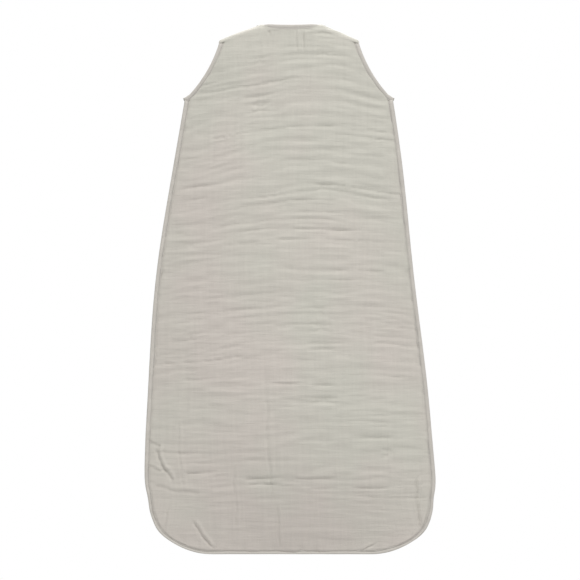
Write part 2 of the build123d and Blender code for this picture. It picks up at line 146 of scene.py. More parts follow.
def outline_half(z, inset=0.0):
    """Half width of the bag at height z, drawn in from its edge: side, corner, and armhole."""
    z = np.asarray(z, float)
    side = SIDE_C[0] + np.sqrt(np.maximum(SIDE_R**2 - (z - SIDE_C[1]) ** 2, 0)) - inset
    drop = np.maximum(CORNER_Z - z, 0)
    corner = HEM_HALF - CORNER_R + np.sqrt(np.maximum((CORNER_R - inset) ** 2 - drop**2, 0))
    arm_radius = ARM_R + inset
    arm = ARM_C[0] - np.sqrt(np.maximum(arm_radius**2 - (np.maximum(z, ARMPIT[1]) - ARM_C[1]) ** 2, 0))
    arm = np.where(z > SHOULDER_POINT[1], SHOULDER_HALF - inset, arm)
    return np.where(z < CORNER_Z, corner, np.where(z < ARMPIT[1], side, np.minimum(arm, side)))


def lens_half(z):
    """Half width of the open pocket at height z."""
    z = np.asarray(z, float)
    side = SIDE_C[0] + np.sqrt(SIDE_R**2 - (np.minimum(z, ARMPIT[1]) - SIDE_C[1]) ** 2) - POCKET_IN
    drop = np.maximum(CORNER_Z - z, 0)
    corner = HEM_HALF - CORNER_R + np.sqrt(np.maximum((CORNER_R - POCKET_IN) ** 2 - drop**2, 1e-6))
    return np.where(z < CORNER_Z, corner, side)


def closing(z, start):
    """How open the pocket is at height z: 1 above start, falling to 0 at the hem's seam."""
    share = np.maximum(0.0, (start - z) / (start - HEM_Z - SEAM_W))
    return np.maximum(0.0, 1 - share**2)


def back_y(x, z):
    """Y of the back's inner face."""
    rise = np.sin(np.pi / 2 * np.clip(z / BELLY_Z, 0, 1))
    depth = (BACK_NECK_DEPTH + (BACK_BELLY_DEPTH - BACK_NECK_DEPTH) * rise) * closing(z, BELLY_Z)
    return -np.maximum(depth, 0.0004) * np.maximum(1 - (x / lens_half(z)) ** 2, 0)


def front_y(x, z):
    """Y of the front's inner face."""
    depth = np.maximum(FRONT_DEPTH * closing(z, ZIP_FOOT_Z), 0.0004)
    return depth * np.maximum(1 - (x / lens_half(z)) ** 2, 0)


def crest_z(x):
    """Height of the sloping shoulder at x."""
    return -SHOULDER_DROP * (np.abs(x) - NECK_HALF) / (SHOULDER_HALF - NECK_HALF)


def arch(x):
    """Outer radius and centre of the shoulder arch at x."""
    share = np.clip((np.abs(x) - NECK_HALF) / (SHOULDER_HALF - NECK_HALF), 0, 1)
    return [a + (b - a) * share for a, b in zip(NECK_ARCH, POINT_ARCH)]


def strap_face_y(x):
    """Y of the outer face of the strap's front leg."""
    radius, middle = arch(x)
    return middle + radius


def noise(seed, x, z, step_x, step_z):
    """Smooth random heights from -1 to 1 on cells of the given size."""
    gx = (np.asarray(x) + 0.6) % 1.4 / step_x
    gz = (np.asarray(z) + 1.4) % 2.2 / step_z
    table = np.random.default_rng(seed).uniform(-1, 1, (int(2.2 / step_z) + 3, int(1.4 / step_x) + 3))
    ix, iz = np.floor(gx).astype(int), np.floor(gz).astype(int)
    fx, fz = gx - ix, gz - iz
    fx, fz = (f * f * f * (f * (f * 6 - 15) + 10) for f in (fx, fz))
    low = table[iz, ix] * (1 - fx) + table[iz, ix + 1] * fx
    high = table[iz + 1, ix] * (1 - fx) + table[iz + 1, ix + 1] * fx
    return low * (1 - fz) + high * fz


def groove(x, z, start, end, depth, width):
    """A fold line between two points, sunk by depth."""
    (ax, az), (bx, bz) = start, end
    length = math.hypot(bx - ax, bz - az)
    ux, uz = (bx - ax) / length, (bz - az) / length
    along = ((x - ax) * ux + (z - az) * uz) / length
    wander = 0.0025 * noise(71, x, z, 0.02, 0.02)
    off = (z - az) * ux - (x - ax) * uz + wander
    taper = smooth(along / 0.15) * smooth((1 - along) / 0.15)
    sunk = hump(off / width)
    ridge = hump((off - 2.2 * width) / (1.6 * width))
    return -depth * taper * (sunk - 0.6 * ridge)


def crinkle(seed, x, z, strength=1.0):
    """Height of the muslin's crinkles: long level wrinkles, fine ones, and faint square blocks."""
    lean = np.where(x < 0, 0.15 * x, 0.03 * x - 0.5 * x * x) * (1 - 0.65 * smooth(-z / 0.8))
    zz = z - lean + 0.006 * noise(seed + 1, x, z, 0.11, 0.07)
    calm = smooth(noise(seed + 2, x, z, 0.09, 0.05) * 0.9 + 0.55)
    wrinkle = noise(seed + 3, x, zz, 0.062, 0.0085)
    narrow = noise(seed + 4, x, zz, 0.03, 0.0046)
    fold = noise(seed + 5, x, zz, 0.11, 0.016)
    steep = np.abs(noise(seed + 5, x, zz + MM, 0.11, 0.016) - fold)
    turned = np.abs(noise(seed + 5, x + MM, zz, 0.11, 0.016) - fold)
    level = smooth(steep / (steep + 9 * turned + 1e-6) * 2.2 - 0.9)
    line = hump(fold / 0.16) * level * smooth(noise(seed + 6, x, z, 0.05, 0.03) * 1.6 + 0.35)
    block = noise(seed + 7, x, z, 0.0195, 0.045)
    upright = noise(seed + 8, x, z, 0.0055, 0.06) * smooth(noise(seed + 9, x, z, 0.07, 0.09) * 1.5)
    swell = noise(seed + 10, x, z, 0.13, 0.09)
    height = 0.95 * wrinkle * calm + 0.62 * narrow * (1.2 - 0.6 * calm) - 1.8 * line
    height = height + 0.22 * block + 0.16 * upright + 1.1 * swell
    return strength * MM * height


def edge_pucker(seed, along, distance, pitch=0.011, reach=0.016, height=0.0011):
    """Short gathers that run in from a sewn edge."""
    wave = noise(seed, along * np.ones_like(distance), distance * 0 + 0.1, pitch, 0.1)
    return height * wave * hump(distance / reach) * smooth(distance / 0.003)


# How far the hung cloth strays sideways from its pattern
WAIST_LEAN = 0.0068
HEM_LEAN = 0.0045
NECK_CORNER_IN = 0.0075
HEM_CORNER_OUT = 0.0048
ABOVE_CORNER_IN = 0.0044


def sway(verts):
    """How far soft points stray sideways: the waist one way, the hem the other, and the corners in or out."""
    x, y, z = np.asarray(verts, float).T
    lean = -WAIST_LEAN * hump((z + 0.43) / 0.17) + HEM_LEAN * smooth((-0.68 - z) / 0.2)
    front = smooth((y - 0.003) / 0.006) * (1 - smooth((np.abs(x) - 0.02) / 0.12))
    corner = NECK_CORNER_IN * hump((x + NECK_HALF) / 0.03) * smooth((z + 0.03) / 0.026)
    pull = HEM_CORNER_OUT * hump((z + 0.866) / 0.020) - ABOVE_CORNER_IN * hump((z + 0.806) / 0.022)
    square = np.sign(x) * smooth((np.abs(x) - 0.11) / 0.09) * pull
    return lean * (1 - front) + corner + square


# ---- Mesh helpers ----
HANDS = ((1, "right"), (-1, "left"))


def new_mesh(name, verts, faces, uv=None, shade=None, soft=True):
    """An object of points and faces, with its flat places and painted shade along its seams; soft ones stray
    with the cloth.
    """
    verts = np.array(verts, float)
    if soft:
        verts[:, 0] += sway(verts)
    mesh = bpy.data.meshes.new(name)
    mesh.from_pydata([tuple(v) for v in verts], [], [tuple(int(i) for i in f) for f in faces])
    if uv is not None:
        layer = mesh.uv_layers.new(name="UVMap")
        loops = np.empty(len(mesh.loops), int)
        mesh.loops.foreach_get("vertex_index", loops)
        layer.data.foreach_set("uv", np.asarray(uv, np.float32)[loops].ravel())
    if shade is not None:
        dark = mesh.attributes.new("shade", "FLOAT", "POINT")
        dark.data.foreach_set("value", np.asarray(shade, np.float32))
    mesh.shade_smooth()
    mesh.update()
    thing = bpy.data.objects.new(name, mesh)
    bpy.context.scene.collection.objects.link(thing)
    return thing


def face_outward(thing, join=False):
    """Turns every face of a closed mesh outward, first joining points that meet if join is true."""
    work = bmesh.new()
    work.from_mesh(thing.data)
    if join:
        bmesh.ops.remove_doubles(work, verts=work.verts, dist=1e-6)
    bmesh.ops.recalc_face_normals(work, faces=work.faces)
    work.to_mesh(thing.data)
    work.free()
    thing.data.shade_smooth()
    return thing


def grid_faces(rows, cols, start=0, wrap=False):
    """Quads of a grid of rows by cols points; wrap closes each row on itself."""
    r, c = np.meshgrid(np.arange(rows - 1), np.arange(cols if wrap else cols - 1), indexing="ij")
    nxt = (c + 1) % cols
    quads = np.stack([r * cols + c, r * cols + nxt, (r + 1) * cols + nxt, (r + 1) * cols + c], -1)
    return (quads.reshape(-1, 4) + start).tolist()


def grid_normals(points):
    """Unit normals of a grid of points, shape rows, cols, 3."""
    dr = np.gradient(points, axis=0)
    dc = np.gradient(points, axis=1)
    n = np.cross(dc, dr)
    size = np.linalg.norm(n, axis=-1, keepdims=True)
    return n / np.maximum(size, 1e-12)


def cloth(name, points, uv, thickness, toward, shade=None, keep=None):
    """A closed sheet round a grid of points, its outer side facing toward; keep marks the cells it has."""
    rows, cols = points.shape[:2]
    if keep is None:
        keep = np.ones((rows - 1, cols - 1), bool)
    normal = grid_normals(points)
    turned = np.sum(normal * np.asarray(toward), axis=-1).mean() < 0
    normal = -normal if turned else normal
    count = rows * cols
    index = np.arange(count).reshape(rows, cols)
    quads = np.stack([index[:-1, :-1], index[:-1, 1:], index[1:, 1:], index[1:, :-1]], -1)[keep]
    framed = np.pad(keep, 1)
    rims = []
    for dr, dc, a, b in ((-1, 0, 0, 1), (0, 1, 1, 2), (1, 0, 2, 3), (0, -1, 3, 0)):
        beyond = framed[1 + dr : rows + dr, 1 + dc : cols + dc][keep]
        ends = quads[~beyond]
        rims.append(np.stack([ends[:, b], ends[:, a], ends[:, a] + count, ends[:, b] + count], -1))
    faces = np.concatenate([quads, quads[:, ::-1] + count] + rims)
    if turned:
        faces = faces[:, ::-1]
    half = normal * thickness / 2
    verts = np.concatenate([(points + half).reshape(-1, 3), (points - half).reshape(-1, 3)])
    used, faces = np.unique(faces, return_inverse=True)
    uvs = np.tile(uv.reshape(-1, 2), (2, 1))[used]
    dark = np.tile(np.zeros(count) if shade is None else shade.ravel(), 2)[used]
    return new_mesh(name, verts[used], faces.reshape(-1, 4), uvs, dark)


def laid_cloth(name, x, y, z, thickness, toward, shade=None):
    """A closed sheet whose flat pattern is its own x and z."""
    return cloth(name, np.stack([x, y, z], -1), np.stack([x, z], -1), thickness, toward, shade)


def even_grid(x_ends, z_ends, cols, rows):
    """X and z of the points of an even grid between two x and two z."""
    return np.broadcast_arrays(np.linspace(*x_ends, cols)[None], np.linspace(*z_ends, rows)[:, None])


def run_of(path):
    """Distance of each point of a polyline from its start, along the line."""
    return np.concatenate([[0], np.cumsum(np.linalg.norm(np.diff(path, axis=0), axis=1))])


# One side of a binding's section, from its outer edge to its inner hem: the share of its width, the share of
# half its thickness, and how much painted shade darkens it there
TRIM_SECTION = (
    (0.0, 0.0, 0.0),
    (0.03, 0.5, 0.0),
    (0.12, 0.86, 0.0),
    (0.3, 1.0, 0.0),
    (0.52, 0.96, 0.0),
    (0.68, 0.8, 0.25),
    (0.76, 0.55, 1.0),
    (0.84, 0.82, 0.15),
    (0.95, 0.8, 0.1),
    (1.0, 0.45, 0.7),
)
TRIM_PROUD = 0.0004
TRIM_SEWN_AT = 0.755


def band(name, edge, inward, normal, width, thick, lump, seed, depth):
    """A folded binding along an edge: rounded outside, its inner hem held down by a row of stitches."""
    along = run_of(edge)
    section = TRIM_SECTION + tuple((a, -b, d) for a, b, d in reversed(TRIM_SECTION[1:]))
    rows, cols = len(edge), len(section)
    to_end = smooth(np.minimum(along, along[-1] - along) / 0.004)
    small = noise(seed, along, along * 0 + 0.1, 0.009, 0.1)
    broad = noise(seed + 1, along, along * 0, 0.035, 0.1)
    swell = 0.45 + 0.55 * to_end + lump * small + lump * broad
    points = np.empty((rows, cols, 3))
    for j, (a, b, _) in enumerate(section):
        reach = (-TRIM_PROUD + a * (width + TRIM_PROUD)) * (1 + 0.06 * (swell - 1) / lump)
        points[:, j] = edge + inward * reach[:, None] + normal * (b * thick / 2 * swell)[:, None]
    faces = grid_faces(rows, cols, wrap=True)
    faces += [tuple(range(cols)), tuple(reversed(range((rows - 1) * cols, rows * cols)))]
    shares = np.array([a for a, _, _ in section])
    # Painted shade, scaled by depth: darkens the binding in the groove at its stitch line and along its inner
    # hem edge.
    dark = np.array([depth * d for _, _, d in section])
    uv = np.stack(np.broadcast_arrays(along[:, None], shares[None] * width[:, None]), -1)
    return face_outward(new_mesh(name, points.reshape(-1, 3), faces, uv.reshape(-1, 2), np.tile(dark, rows)))


def resample(path, step):
    """Points at even steps along a polyline, the unit tangent at each, and its distance along."""
    path = np.asarray(path, float)
    length = run_of(path)
    count = max(2, int(round(length[-1] / step)) + 1)
    at = np.linspace(0, length[-1], count)
    points = np.stack([np.interp(at, length, path[:, k]) for k in range(path.shape[1])], -1)
    tangent = np.gradient(points, axis=0)
    return points, tangent / np.linalg.norm(tangent, axis=1, keepdims=True), at


def interpolate(at, along, values):
    """Rows of values, known at each distance along, read off at other distances."""
    return np.stack([np.interp(at, along, values[:, k]) for k in range(values.shape[1])], -1)


def stitches(name, path, normal, length=0.0026, gap=0.0012, radius=0.00028, sink=0.00005):
    """A row of thread stitches lying along a path on cloth with the given normals."""
    path, normal = np.asarray(path, float), np.asarray(normal, float)
    along = run_of(path)
    count = int(along[-1] / (length + gap))
    sides = 6
    stations = np.array([-1.0, -0.8, -0.3, 0.3, 0.8, 1.0])
    girth = np.array([0.35, 0.85, 1.0, 1.0, 0.85, 0.35])
    lift = np.array([-1.2, -0.3, 0.35, 0.35, -0.3, -1.2])
    angle = np.arange(sides) * TAU / sides
    verts, faces = [], []
    for i in range(count):
        middle = (i + 0.5) * (length + gap)
        at = middle + stations * length / 2
        line = interpolate(at, along, path)
        up = interpolate(at, along, normal)
        up /= np.linalg.norm(up, axis=1, keepdims=True)
        forward = line[-1] - line[0]
        forward /= np.linalg.norm(forward)
        across = np.cross(forward, up)
        base = line + up * (lift * radius - sink)[:, None]
        ring = (
            base[:, None]
            + across[:, None] * (np.cos(angle)[None, :, None] * (girth * radius)[:, None, None])
            + up[:, None] * (np.sin(angle)[None, :, None] * (girth * radius)[:, None, None])
        )
        start = len(verts) * len(stations) * sides
        verts.append(ring.reshape(-1, 3))
        faces += grid_faces(len(stations), sides, start, wrap=True)
        last = start + (len(stations) - 1) * sides
        faces += [tuple(range(start + sides - 1, start - 1, -1)), tuple(range(last, last + sides))]
    return face_outward(new_mesh(name, np.concatenate(verts), faces))


# ---- Finishes ----
class Value:
    """A shader socket that takes part in Python arithmetic."""

    def __init__(self, maker, socket):
        self.maker = maker
        self.socket = socket

    def maths(self, operation, *values):
        return self.maker.node("ShaderNodeMath", {"operation": operation}, *values)

    def __add__(self, other):
        return self.maths("ADD", self, other)

    __radd__ = __add__

    def __sub__(self, other):
        return self.maths("SUBTRACT", self, other)

    def __rsub__(self, other):
        return self.maths("SUBTRACT", other, self)

    def __mul__(self, other):
        return self.maths("MULTIPLY", self, other)

    __rmul__ = __mul__

    def sine(self):
        return self.maths("SINE", self)


class Finish:
    """A material with one Principled shader, its fixed values set on the sockets themselves."""

    def __init__(self, name, **fixed):
        self.material = bpy.data.materials.new(name)
        self.material.use_nodes = True
        self.tree = self.material.node_tree
        self.shader = self.tree.nodes["Principled BSDF"]
        for key, value in fixed.items():
            self.shader.inputs[key.replace("_", " ").title().replace("Ior", "IOR")].default_value = value

    def node(self, kind, settings=None, *values, out=0, **named):
        """A node of any kind: its settings first, then the values or links of its sockets."""
        made = self.tree.nodes.new(kind)
        for key, value in (settings or {}).items():
            setattr(made, key, value)
        for socket, value in zip(made.inputs, values):
            self.feed(socket, value)
        for key, value in named.items():
            self.feed(made.inputs[key.replace("_", " ")], value)
        return Value(self, made.outputs[out])

    def feed(self, socket, value):
        if isinstance(value, Value):
            self.tree.links.new(value.socket, socket)
        elif value is not None:
            socket.default_value = value

    def mix(self, share, a, b):
        """From colour a to colour b by share."""
        made = self.tree.nodes.new("ShaderNodeMix")
        made.data_type = "RGBA"
        made.clamp_factor = True
        for number, value in ((0, share), (6, a), (7, b)):
            self.feed(made.inputs[number], value)
        return Value(self, made.outputs[2])

    def paint(self, **varying):
        for key, value in varying.items():
            self.feed(self.shader.inputs[key.replace("_", " ").title()], value)

    def bump(self, height, strength, distance):
        self.feed(
            self.shader.inputs["Normal"],
            self.node("ShaderNodeBump", None, Strength=strength, Distance=distance, Height=height),
        )

    def cloth_place(self):
        """Place on the flat cloth, in metres, as two numbers."""
        uv = self.node("ShaderNodeUVMap", {"uv_map": "UVMap"})
        parts = self.tree.nodes.new("ShaderNodeSeparateXYZ")
        self.feed(parts.inputs[0], uv)
        return Value(self, parts.outputs[0]), Value(self, parts.outputs[1])

    def speckle(self, u, v, per_u, per_v, detail=2.0, seed=0.0):
        """Noise from 0 to 1 with its own fineness each way, in cells to a metre."""
        place = self.node("ShaderNodeCombineXYZ", None, u * per_u, v * per_v, seed)
        return self.node("ShaderNodeTexNoise", None, Vector=place, Scale=1.0, Detail=detail, Roughness=0.55)


def tone(colour, factor):
    """A colour made lighter or darker."""
    return (colour[0] * factor, colour[1] * factor, colour[2] * factor, 1.0)


THREAD_PITCH = 0.0009


def woven(name, colour, warm, cool, contrast=1.0, pitch=THREAD_PITCH, slub=1.0, sheen=0.12):
    """Woven cotton: crossing threads, slubs along both, and slow drifts of tint."""
    made = Finish(name, roughness=0.9, sheen_weight=sheen, sheen_roughness=0.5, specular_ior_level=0.2)
    u, v = made.cloth_place()
    drift = made.speckle(u, v, 6.0, 5.0, 2.0, 3.1)
    place = (drift - 0.5) * 3.4 + 0.55 + (v + 0.45) * 0.9 + u * 0.8
    pale = made.mix(place, tone(warm, 1.0), tone(cool, 1.0))
    weft = made.speckle(u, v, 38.0, 620.0, 3.0, 5.3)
    warp = made.speckle(u, v, 620.0, 30.0, 3.0, 8.7)
    tufts = made.speckle(u, v, 260.0, 260.0, 2.0, 1.9)
    bars = made.speckle(u, v, 170.0, 11.0, 1.0, 6.6) + made.speckle(u, v, 9.0, 190.0, 1.0, 7.7)
    streak = (weft * 0.55 + warp * 0.45 - 0.5) * slub
    ripple = made.speckle(u, v, 26.0, 280.0, 2.0, 4.4)
    across = (u * (TAU / pitch) + warp * 5.0).sine()
    along = (v * (TAU / pitch) + weft * 5.0).sine()
    threads = across * along
    grain = 0.5 - streak * 2.4 * contrast + (tufts - 0.5) * 0.5 - (bars - 1.0) * (0.9 * slub)
    body = made.mix(0.5, pale, made.mix(grain, tone(colour, 1.07), tone(colour, 0.91)))
    # Painted shade: the shade attribute darkens the cloth's colour in the creases along its seams and
    # bindings.
    painted_seam_shade = made.node("ShaderNodeAttribute", {"attribute_name": "shade", "attribute_type": "GEOMETRY"}, out=2)
    body = made.mix(painted_seam_shade * 0.75, body, tone(colour, 0.52))
    body = made.mix((threads + 1.0) * 0.06, body, tone(colour, 0.72))
    made.paint(base_color=body, roughness=0.84 + tufts * 0.12)
    made.bump(threads * 0.3 + streak * 1.3 + tufts * 0.5 + ripple * (2.0 * slub), 0.6, 0.0004)
    return made.material


def moulded(name, colour, roughness, metallic=0.0, coat=0.0, grain=0.12, fine=1400.0):
    """A smooth hard finish with faint wear: moulded plastic, enamel or stamped metal."""
    made = Finish(name, metallic=metallic, coat_weight=coat, coat_roughness=0.2)
    place = made.node("ShaderNodeTexCoord", None, out=3)
    small = made.node("ShaderNodeTexNoise", None, Vector=place, Scale=fine, Detail=3.0, Roughness=0.6)
    broad = made.node("ShaderNodeTexNoise", None, Vector=place, Scale=fine / 8, Detail=2.0, Roughness=0.5)
    made.paint(
        base_color=made.mix(broad, tone(colour, 0.93), tone(colour, 1.06)),
        roughness=roughness + (small - 0.5) * grain + (broad - 0.5) * 0.1,
    )
    made.bump(small, 0.2, 0.00004)
    return made.material


def sewing_thread(name, colour):
    """Twisted sewing thread."""
    made = Finish(name, roughness=0.8, sheen_weight=0.2, specular_ior_level=0.25)
    place = made.node("ShaderNodeTexCoord", None, out=3)
    fuzz = made.node("ShaderNodeTexNoise", None, Vector=place, Scale=2600.0, Detail=2.0)
    twist = made.mix(fuzz, tone(colour, 0.85), tone(colour, 1.08))
    made.paint(base_color=twist, roughness=0.75 + fuzz * 0.15)
    made.bump(fuzz, 0.4, 0.0001)
    return made.material


def finish_of(kind):
    """The material of a kind, made on first use."""
    name = f"{kind}_finish"
    if name in bpy.data.materials:
        return bpy.data.materials[name]
    look = bpy.context.scene.sleeping_bag
    outer, trim = tuple(look.muslin_colour), tuple(look.binding_colour)
    hard = tuple(look.hard_colour)
    warm = tuple(c * f for c, f in zip(outer, (1.04, 0.975, 0.985)))
    cool = tuple(c * f for c, f in zip(outer, (0.97, 1.015, 0.97)))
    if kind == "crinkled_muslin":
        return woven(name, outer, warm, cool)
    if kind == "lining_muslin":
        pale = [tuple(min(c * 1.05, 1) for c in t) for t in (outer, warm, cool)]
        return woven(name, *pale, contrast=0.8)
    if kind == "binding_cotton":
        return woven(name, trim, trim, trim, contrast=0.8, pitch=0.0008, slub=0.7)
    if kind == "zip_tape":
        return woven(name, tone(trim, 0.94)[:3], trim, trim, contrast=0.3, pitch=0.0011, slub=0.3)
    if kind == "satin_label":
        return woven(name, (0.8, 0.79, 0.76), (0.8, 0.79, 0.76), (0.8, 0.79, 0.76), 0.2, 0.0004, 0.2, 0.4)
    if kind == "sewing_thread":
        return sewing_thread(name, tone(trim, 1.02)[:3])
    if kind == "moulded_teeth":
        return moulded(name, hard, 0.38)
    if kind == "enamel":
        return moulded(name, hard, 0.3, coat=0.4, grain=0.08)
    if kind == "stamped_steel":
        return moulded(name, (0.62, 0.61, 0.59), 0.3, metallic=1.0, grain=0.15)
    raise ValueError(f"no finish is called {kind}")


def dress(thing, kind):
    """Gives a thing one material, in place of any it had."""
    thing.data.materials.clear()
    thing.data.materials.append(finish_of(kind))


# ---- Cloth panels ----
CUT_IN = 0.0015
SEAM_CUT_IN = 0.004
OUTER_OFF, LINING_OFF = 0.0024, 0.00055
NECK_TURN = 0.040
SIDE_TRIM_W = 0.0092
HEM_TRIM_LESS = 0.0030

# Sharp creases in the back: two ends as (x, z), depth and width
CREASES = (
    ((-0.2410, -0.7115), (-0.2180, -0.7185), 0.0012, 0.0018),
    ((-0.2205, -0.7130), (-0.2235, -0.7440), 0.0014, 0.0017),
    ((-0.2275, -0.7200), (-0.2125, -0.7620), 0.0025, 0.0020),
    ((-0.2160, -0.7480), (-0.2015, -0.7780), 0.0021, 0.0019),
    ((-0.2420, -0.7515), (-0.2170, -0.7600), 0.0013, 0.0018),
    ((-0.2350, -0.7855), (-0.1950, -0.7945), 0.0011, 0.0024),
    ((-0.2030, -0.7930), (-0.1540, -0.7970), 0.0008, 0.0024),
    ((-0.1680, -0.8430), (-0.1355, -0.8930), 0.0021, 0.0022),
    ((-0.2135, -0.8240), (-0.2125, -0.8640), 0.0010, 0.0013),
    ((-0.0945, -0.7420), (-0.0935, -0.8620), 0.0008, 0.0014),
    ((-0.036, -0.626), (-0.033, -0.806), 0.0010, 0.0018),
    ((-0.0225, -0.815), (-0.0205, -0.892), 0.0015, 0.0014),
    ((-0.187, -0.672), (-0.184, -0.795), 0.0009, 0.0016),
    ((0.2185, -0.766), (0.2165, -0.862), 0.0030, 0.0018),
    ((0.122, -0.896), (0.142, -0.884), 0.0012, 0.0016),
    ((-0.041, -0.006), (-0.036, -0.022), 0.0010, 0.0020),
    ((0.0125, -0.009), (0.0118, -0.047), 0.0011, 0.0016),
    ((0.0245, -0.009), (0.0238, -0.047), 0.0011, 0.0016),
)


def columns(parts):
    """Shares across a panel, from (start, end, cells) runs."""
    runs = [np.linspace(a, b, n + 1)[:-1] for a, b, n in parts]
    return np.concatenate(runs + [[parts[-1][1]]])


def seam_gather(seed, x, z, edge_distance):
    """Gathers along the hem and the sides, by their own run."""
    along = np.where(z < CORNER_Z, x, z)
    return edge_pucker(seed, along, edge_distance)


def outline_distance(x, z):
    """Distance in from the sewn outline, near enough at the sides, corners and hem."""
    side = outline_half(np.maximum(z, CORNER_Z)) - np.abs(x)
    cx, cz = HEM_HALF - CORNER_R, CORNER_Z
    corner = CORNER_R - np.hypot(np.maximum(np.abs(x) - cx, 0), np.maximum(cz - z, 0))
    return np.where(z < cz, corner, np.minimum(side, 0.2))


def trim_width(z):
    """Width of the binding at a height: full down the sides, rolled narrower round the corners and hem."""
    return SIDE_TRIM_W - HEM_TRIM_LESS * smooth((-0.755 - z) / 0.07)


def edge_calm(edge_distance):
    """Share of the crinkles that is left near a sewn edge, where the cloth is held flat."""
    return smooth(edge_distance / 0.03) * 0.75 + 0.25


def seam_shade(edge_distance):
    """Painted shade in the crease that the side and hem seam presses into the cloth."""
    return hump((edge_distance - SEAM_W * 0.76) / 0.0016) * 0.6


def tuck(edge_distance, z, offset):
    """How far a panel sinks where it runs in under the edge binding."""
    return 0.0015 * offset / OUTER_OFF * (1 - smooth((edge_distance - trim_width(z) + 0.0014) / 0.0022))


def back_cloth(name, offset, seed, strength, thickness, grain):
    """The back, from hem to neck, running on over each shoulder as its strap."""
    neck = (NECK_HALF + CUT_IN) / (SHOULDER_HALF - CUT_IN)
    side, middle = int(0.126 / grain), int(0.235 / grain)
    u = columns(((-1, -neck, side), (-neck, neck, middle), (neck, 1, side)))
    top_x = u * (SHOULDER_HALF - CUT_IN)
    on_strap = np.abs(u) > neck - 1e-9
    radius, centre_y = arch(np.maximum(np.abs(top_x), NECK_HALF))
    start_z = np.where(on_strap, crest_z(top_x), 0.0) - radius
    low_z = HEM_Z + SEAM_CUT_IN
    v = np.linspace(0, 1, int(0.885 / grain))[:, None]
    even = low_z + (-NECK_ARCH[0] - low_z) * v
    z = even + (start_z + NECK_ARCH[0])[None] * smooth((even + 0.12) / 0.107)
    cut = np.where(z < ARMPIT[1], SEAM_CUT_IN, CUT_IN)
    x = u[None] * np.minimum(outline_half(z, 0) - cut, 0.26)
    y = back_y(x, z) - offset
    shell = OUTER_OFF - offset
    arch_r = radius - 0.0006 - np.maximum(shell, 0)
    meet = np.where(on_strap, 1.0, smooth((np.abs(top_x) - NECK_TURN) / (NECK_HALF - NECK_TURN)))
    y = y + (centre_y - arch_r - y[-1])[None] * meet[None] * smooth((z - start_z + 0.03) / 0.03)
    y = y + tuck(outline_distance(x, z), z, offset)
    y = y + 0.0009 * offset / OUTER_OFF * (1 - meet)[None] * smooth((z + 0.0115) / 0.002)
    main = np.stack([x, y, z], -1)
    turn = np.linspace(0, np.pi, 2 * int(0.02 / grain * 1.3) + 1)[1:, None]
    quarter = np.clip(np.sin(turn), 0, 1)
    neck_z = -BACK_NECK_DIP * (1 - (top_x / NECK_HALF) ** 2)
    plain_z = start_z + (neck_z - CUT_IN - start_z) * quarter
    arch_z = start_z + arch_r * np.sin(turn)
    arch_y = centre_y - arch_r * np.cos(turn)
    plain_y = np.broadcast_to(y[-1], plain_z.shape) + 0.0012 * quarter
    bend = np.stack(
        [
            np.broadcast_to(top_x, plain_z.shape),
            plain_y * (1 - meet) + arch_y * meet,
            plain_z * (1 - meet) + arch_z * meet,
        ],
        -1,
    )
    drop = np.linspace(0, 1, int(0.03 / grain) + 1)[1:, None]
    foot = crest_z(top_x) - STRAP_LEG + CUT_IN
    leg_z = start_z + (foot - start_z) * drop
    leg = np.stack(np.broadcast_arrays(top_x[None], (centre_y + arch_r)[None], leg_z), -1)
    points = np.concatenate([main, bend, leg])
    run = np.concatenate([z, start_z + arch_r * turn, start_z + arch_r * np.pi + (start_z - foot) * drop])
    flat = np.stack([points[..., 0], run], -1)
    height = crinkle(seed, points[..., 0], run, strength)
    inward = outline_distance(points[..., 0], points[..., 2])
    calm = edge_calm(inward)
    calm = calm * (1 - 0.5 * smooth((-0.785 - run) / 0.04))
    calm = calm * (1 - 0.5 * smooth((-0.178 - points[..., 0]) / 0.02) * smooth((-0.62 - run) / 0.05))
    rows_main = len(main)
    calm[rows_main:] *= 0.45
    height = height * calm
    for start, end, depth, width in CREASES:
        height[:rows_main] += groove(x, z, start, end, depth, width)
    height[:rows_main] += seam_gather(seed + 20, x, z, inward[:rows_main])
    normal = grid_normals(points)
    normal *= np.sign(-normal[rows_main // 2, len(u) // 2, 1])
    points = points + normal * height[..., None]
    keep = np.ones((len(points) - 1, len(u) - 1), bool)
    crest_row = rows_main - 1 + len(turn) // 2
    inner_faces = np.abs((u[1:] + u[:-1]) / 2) < neck
    keep[crest_row:, inner_faces] = False
    shade = seam_shade(inward)
    shade[rows_main:] = 0
    return cloth(name, points, flat, thickness, (0, -1, 0), shade, keep)


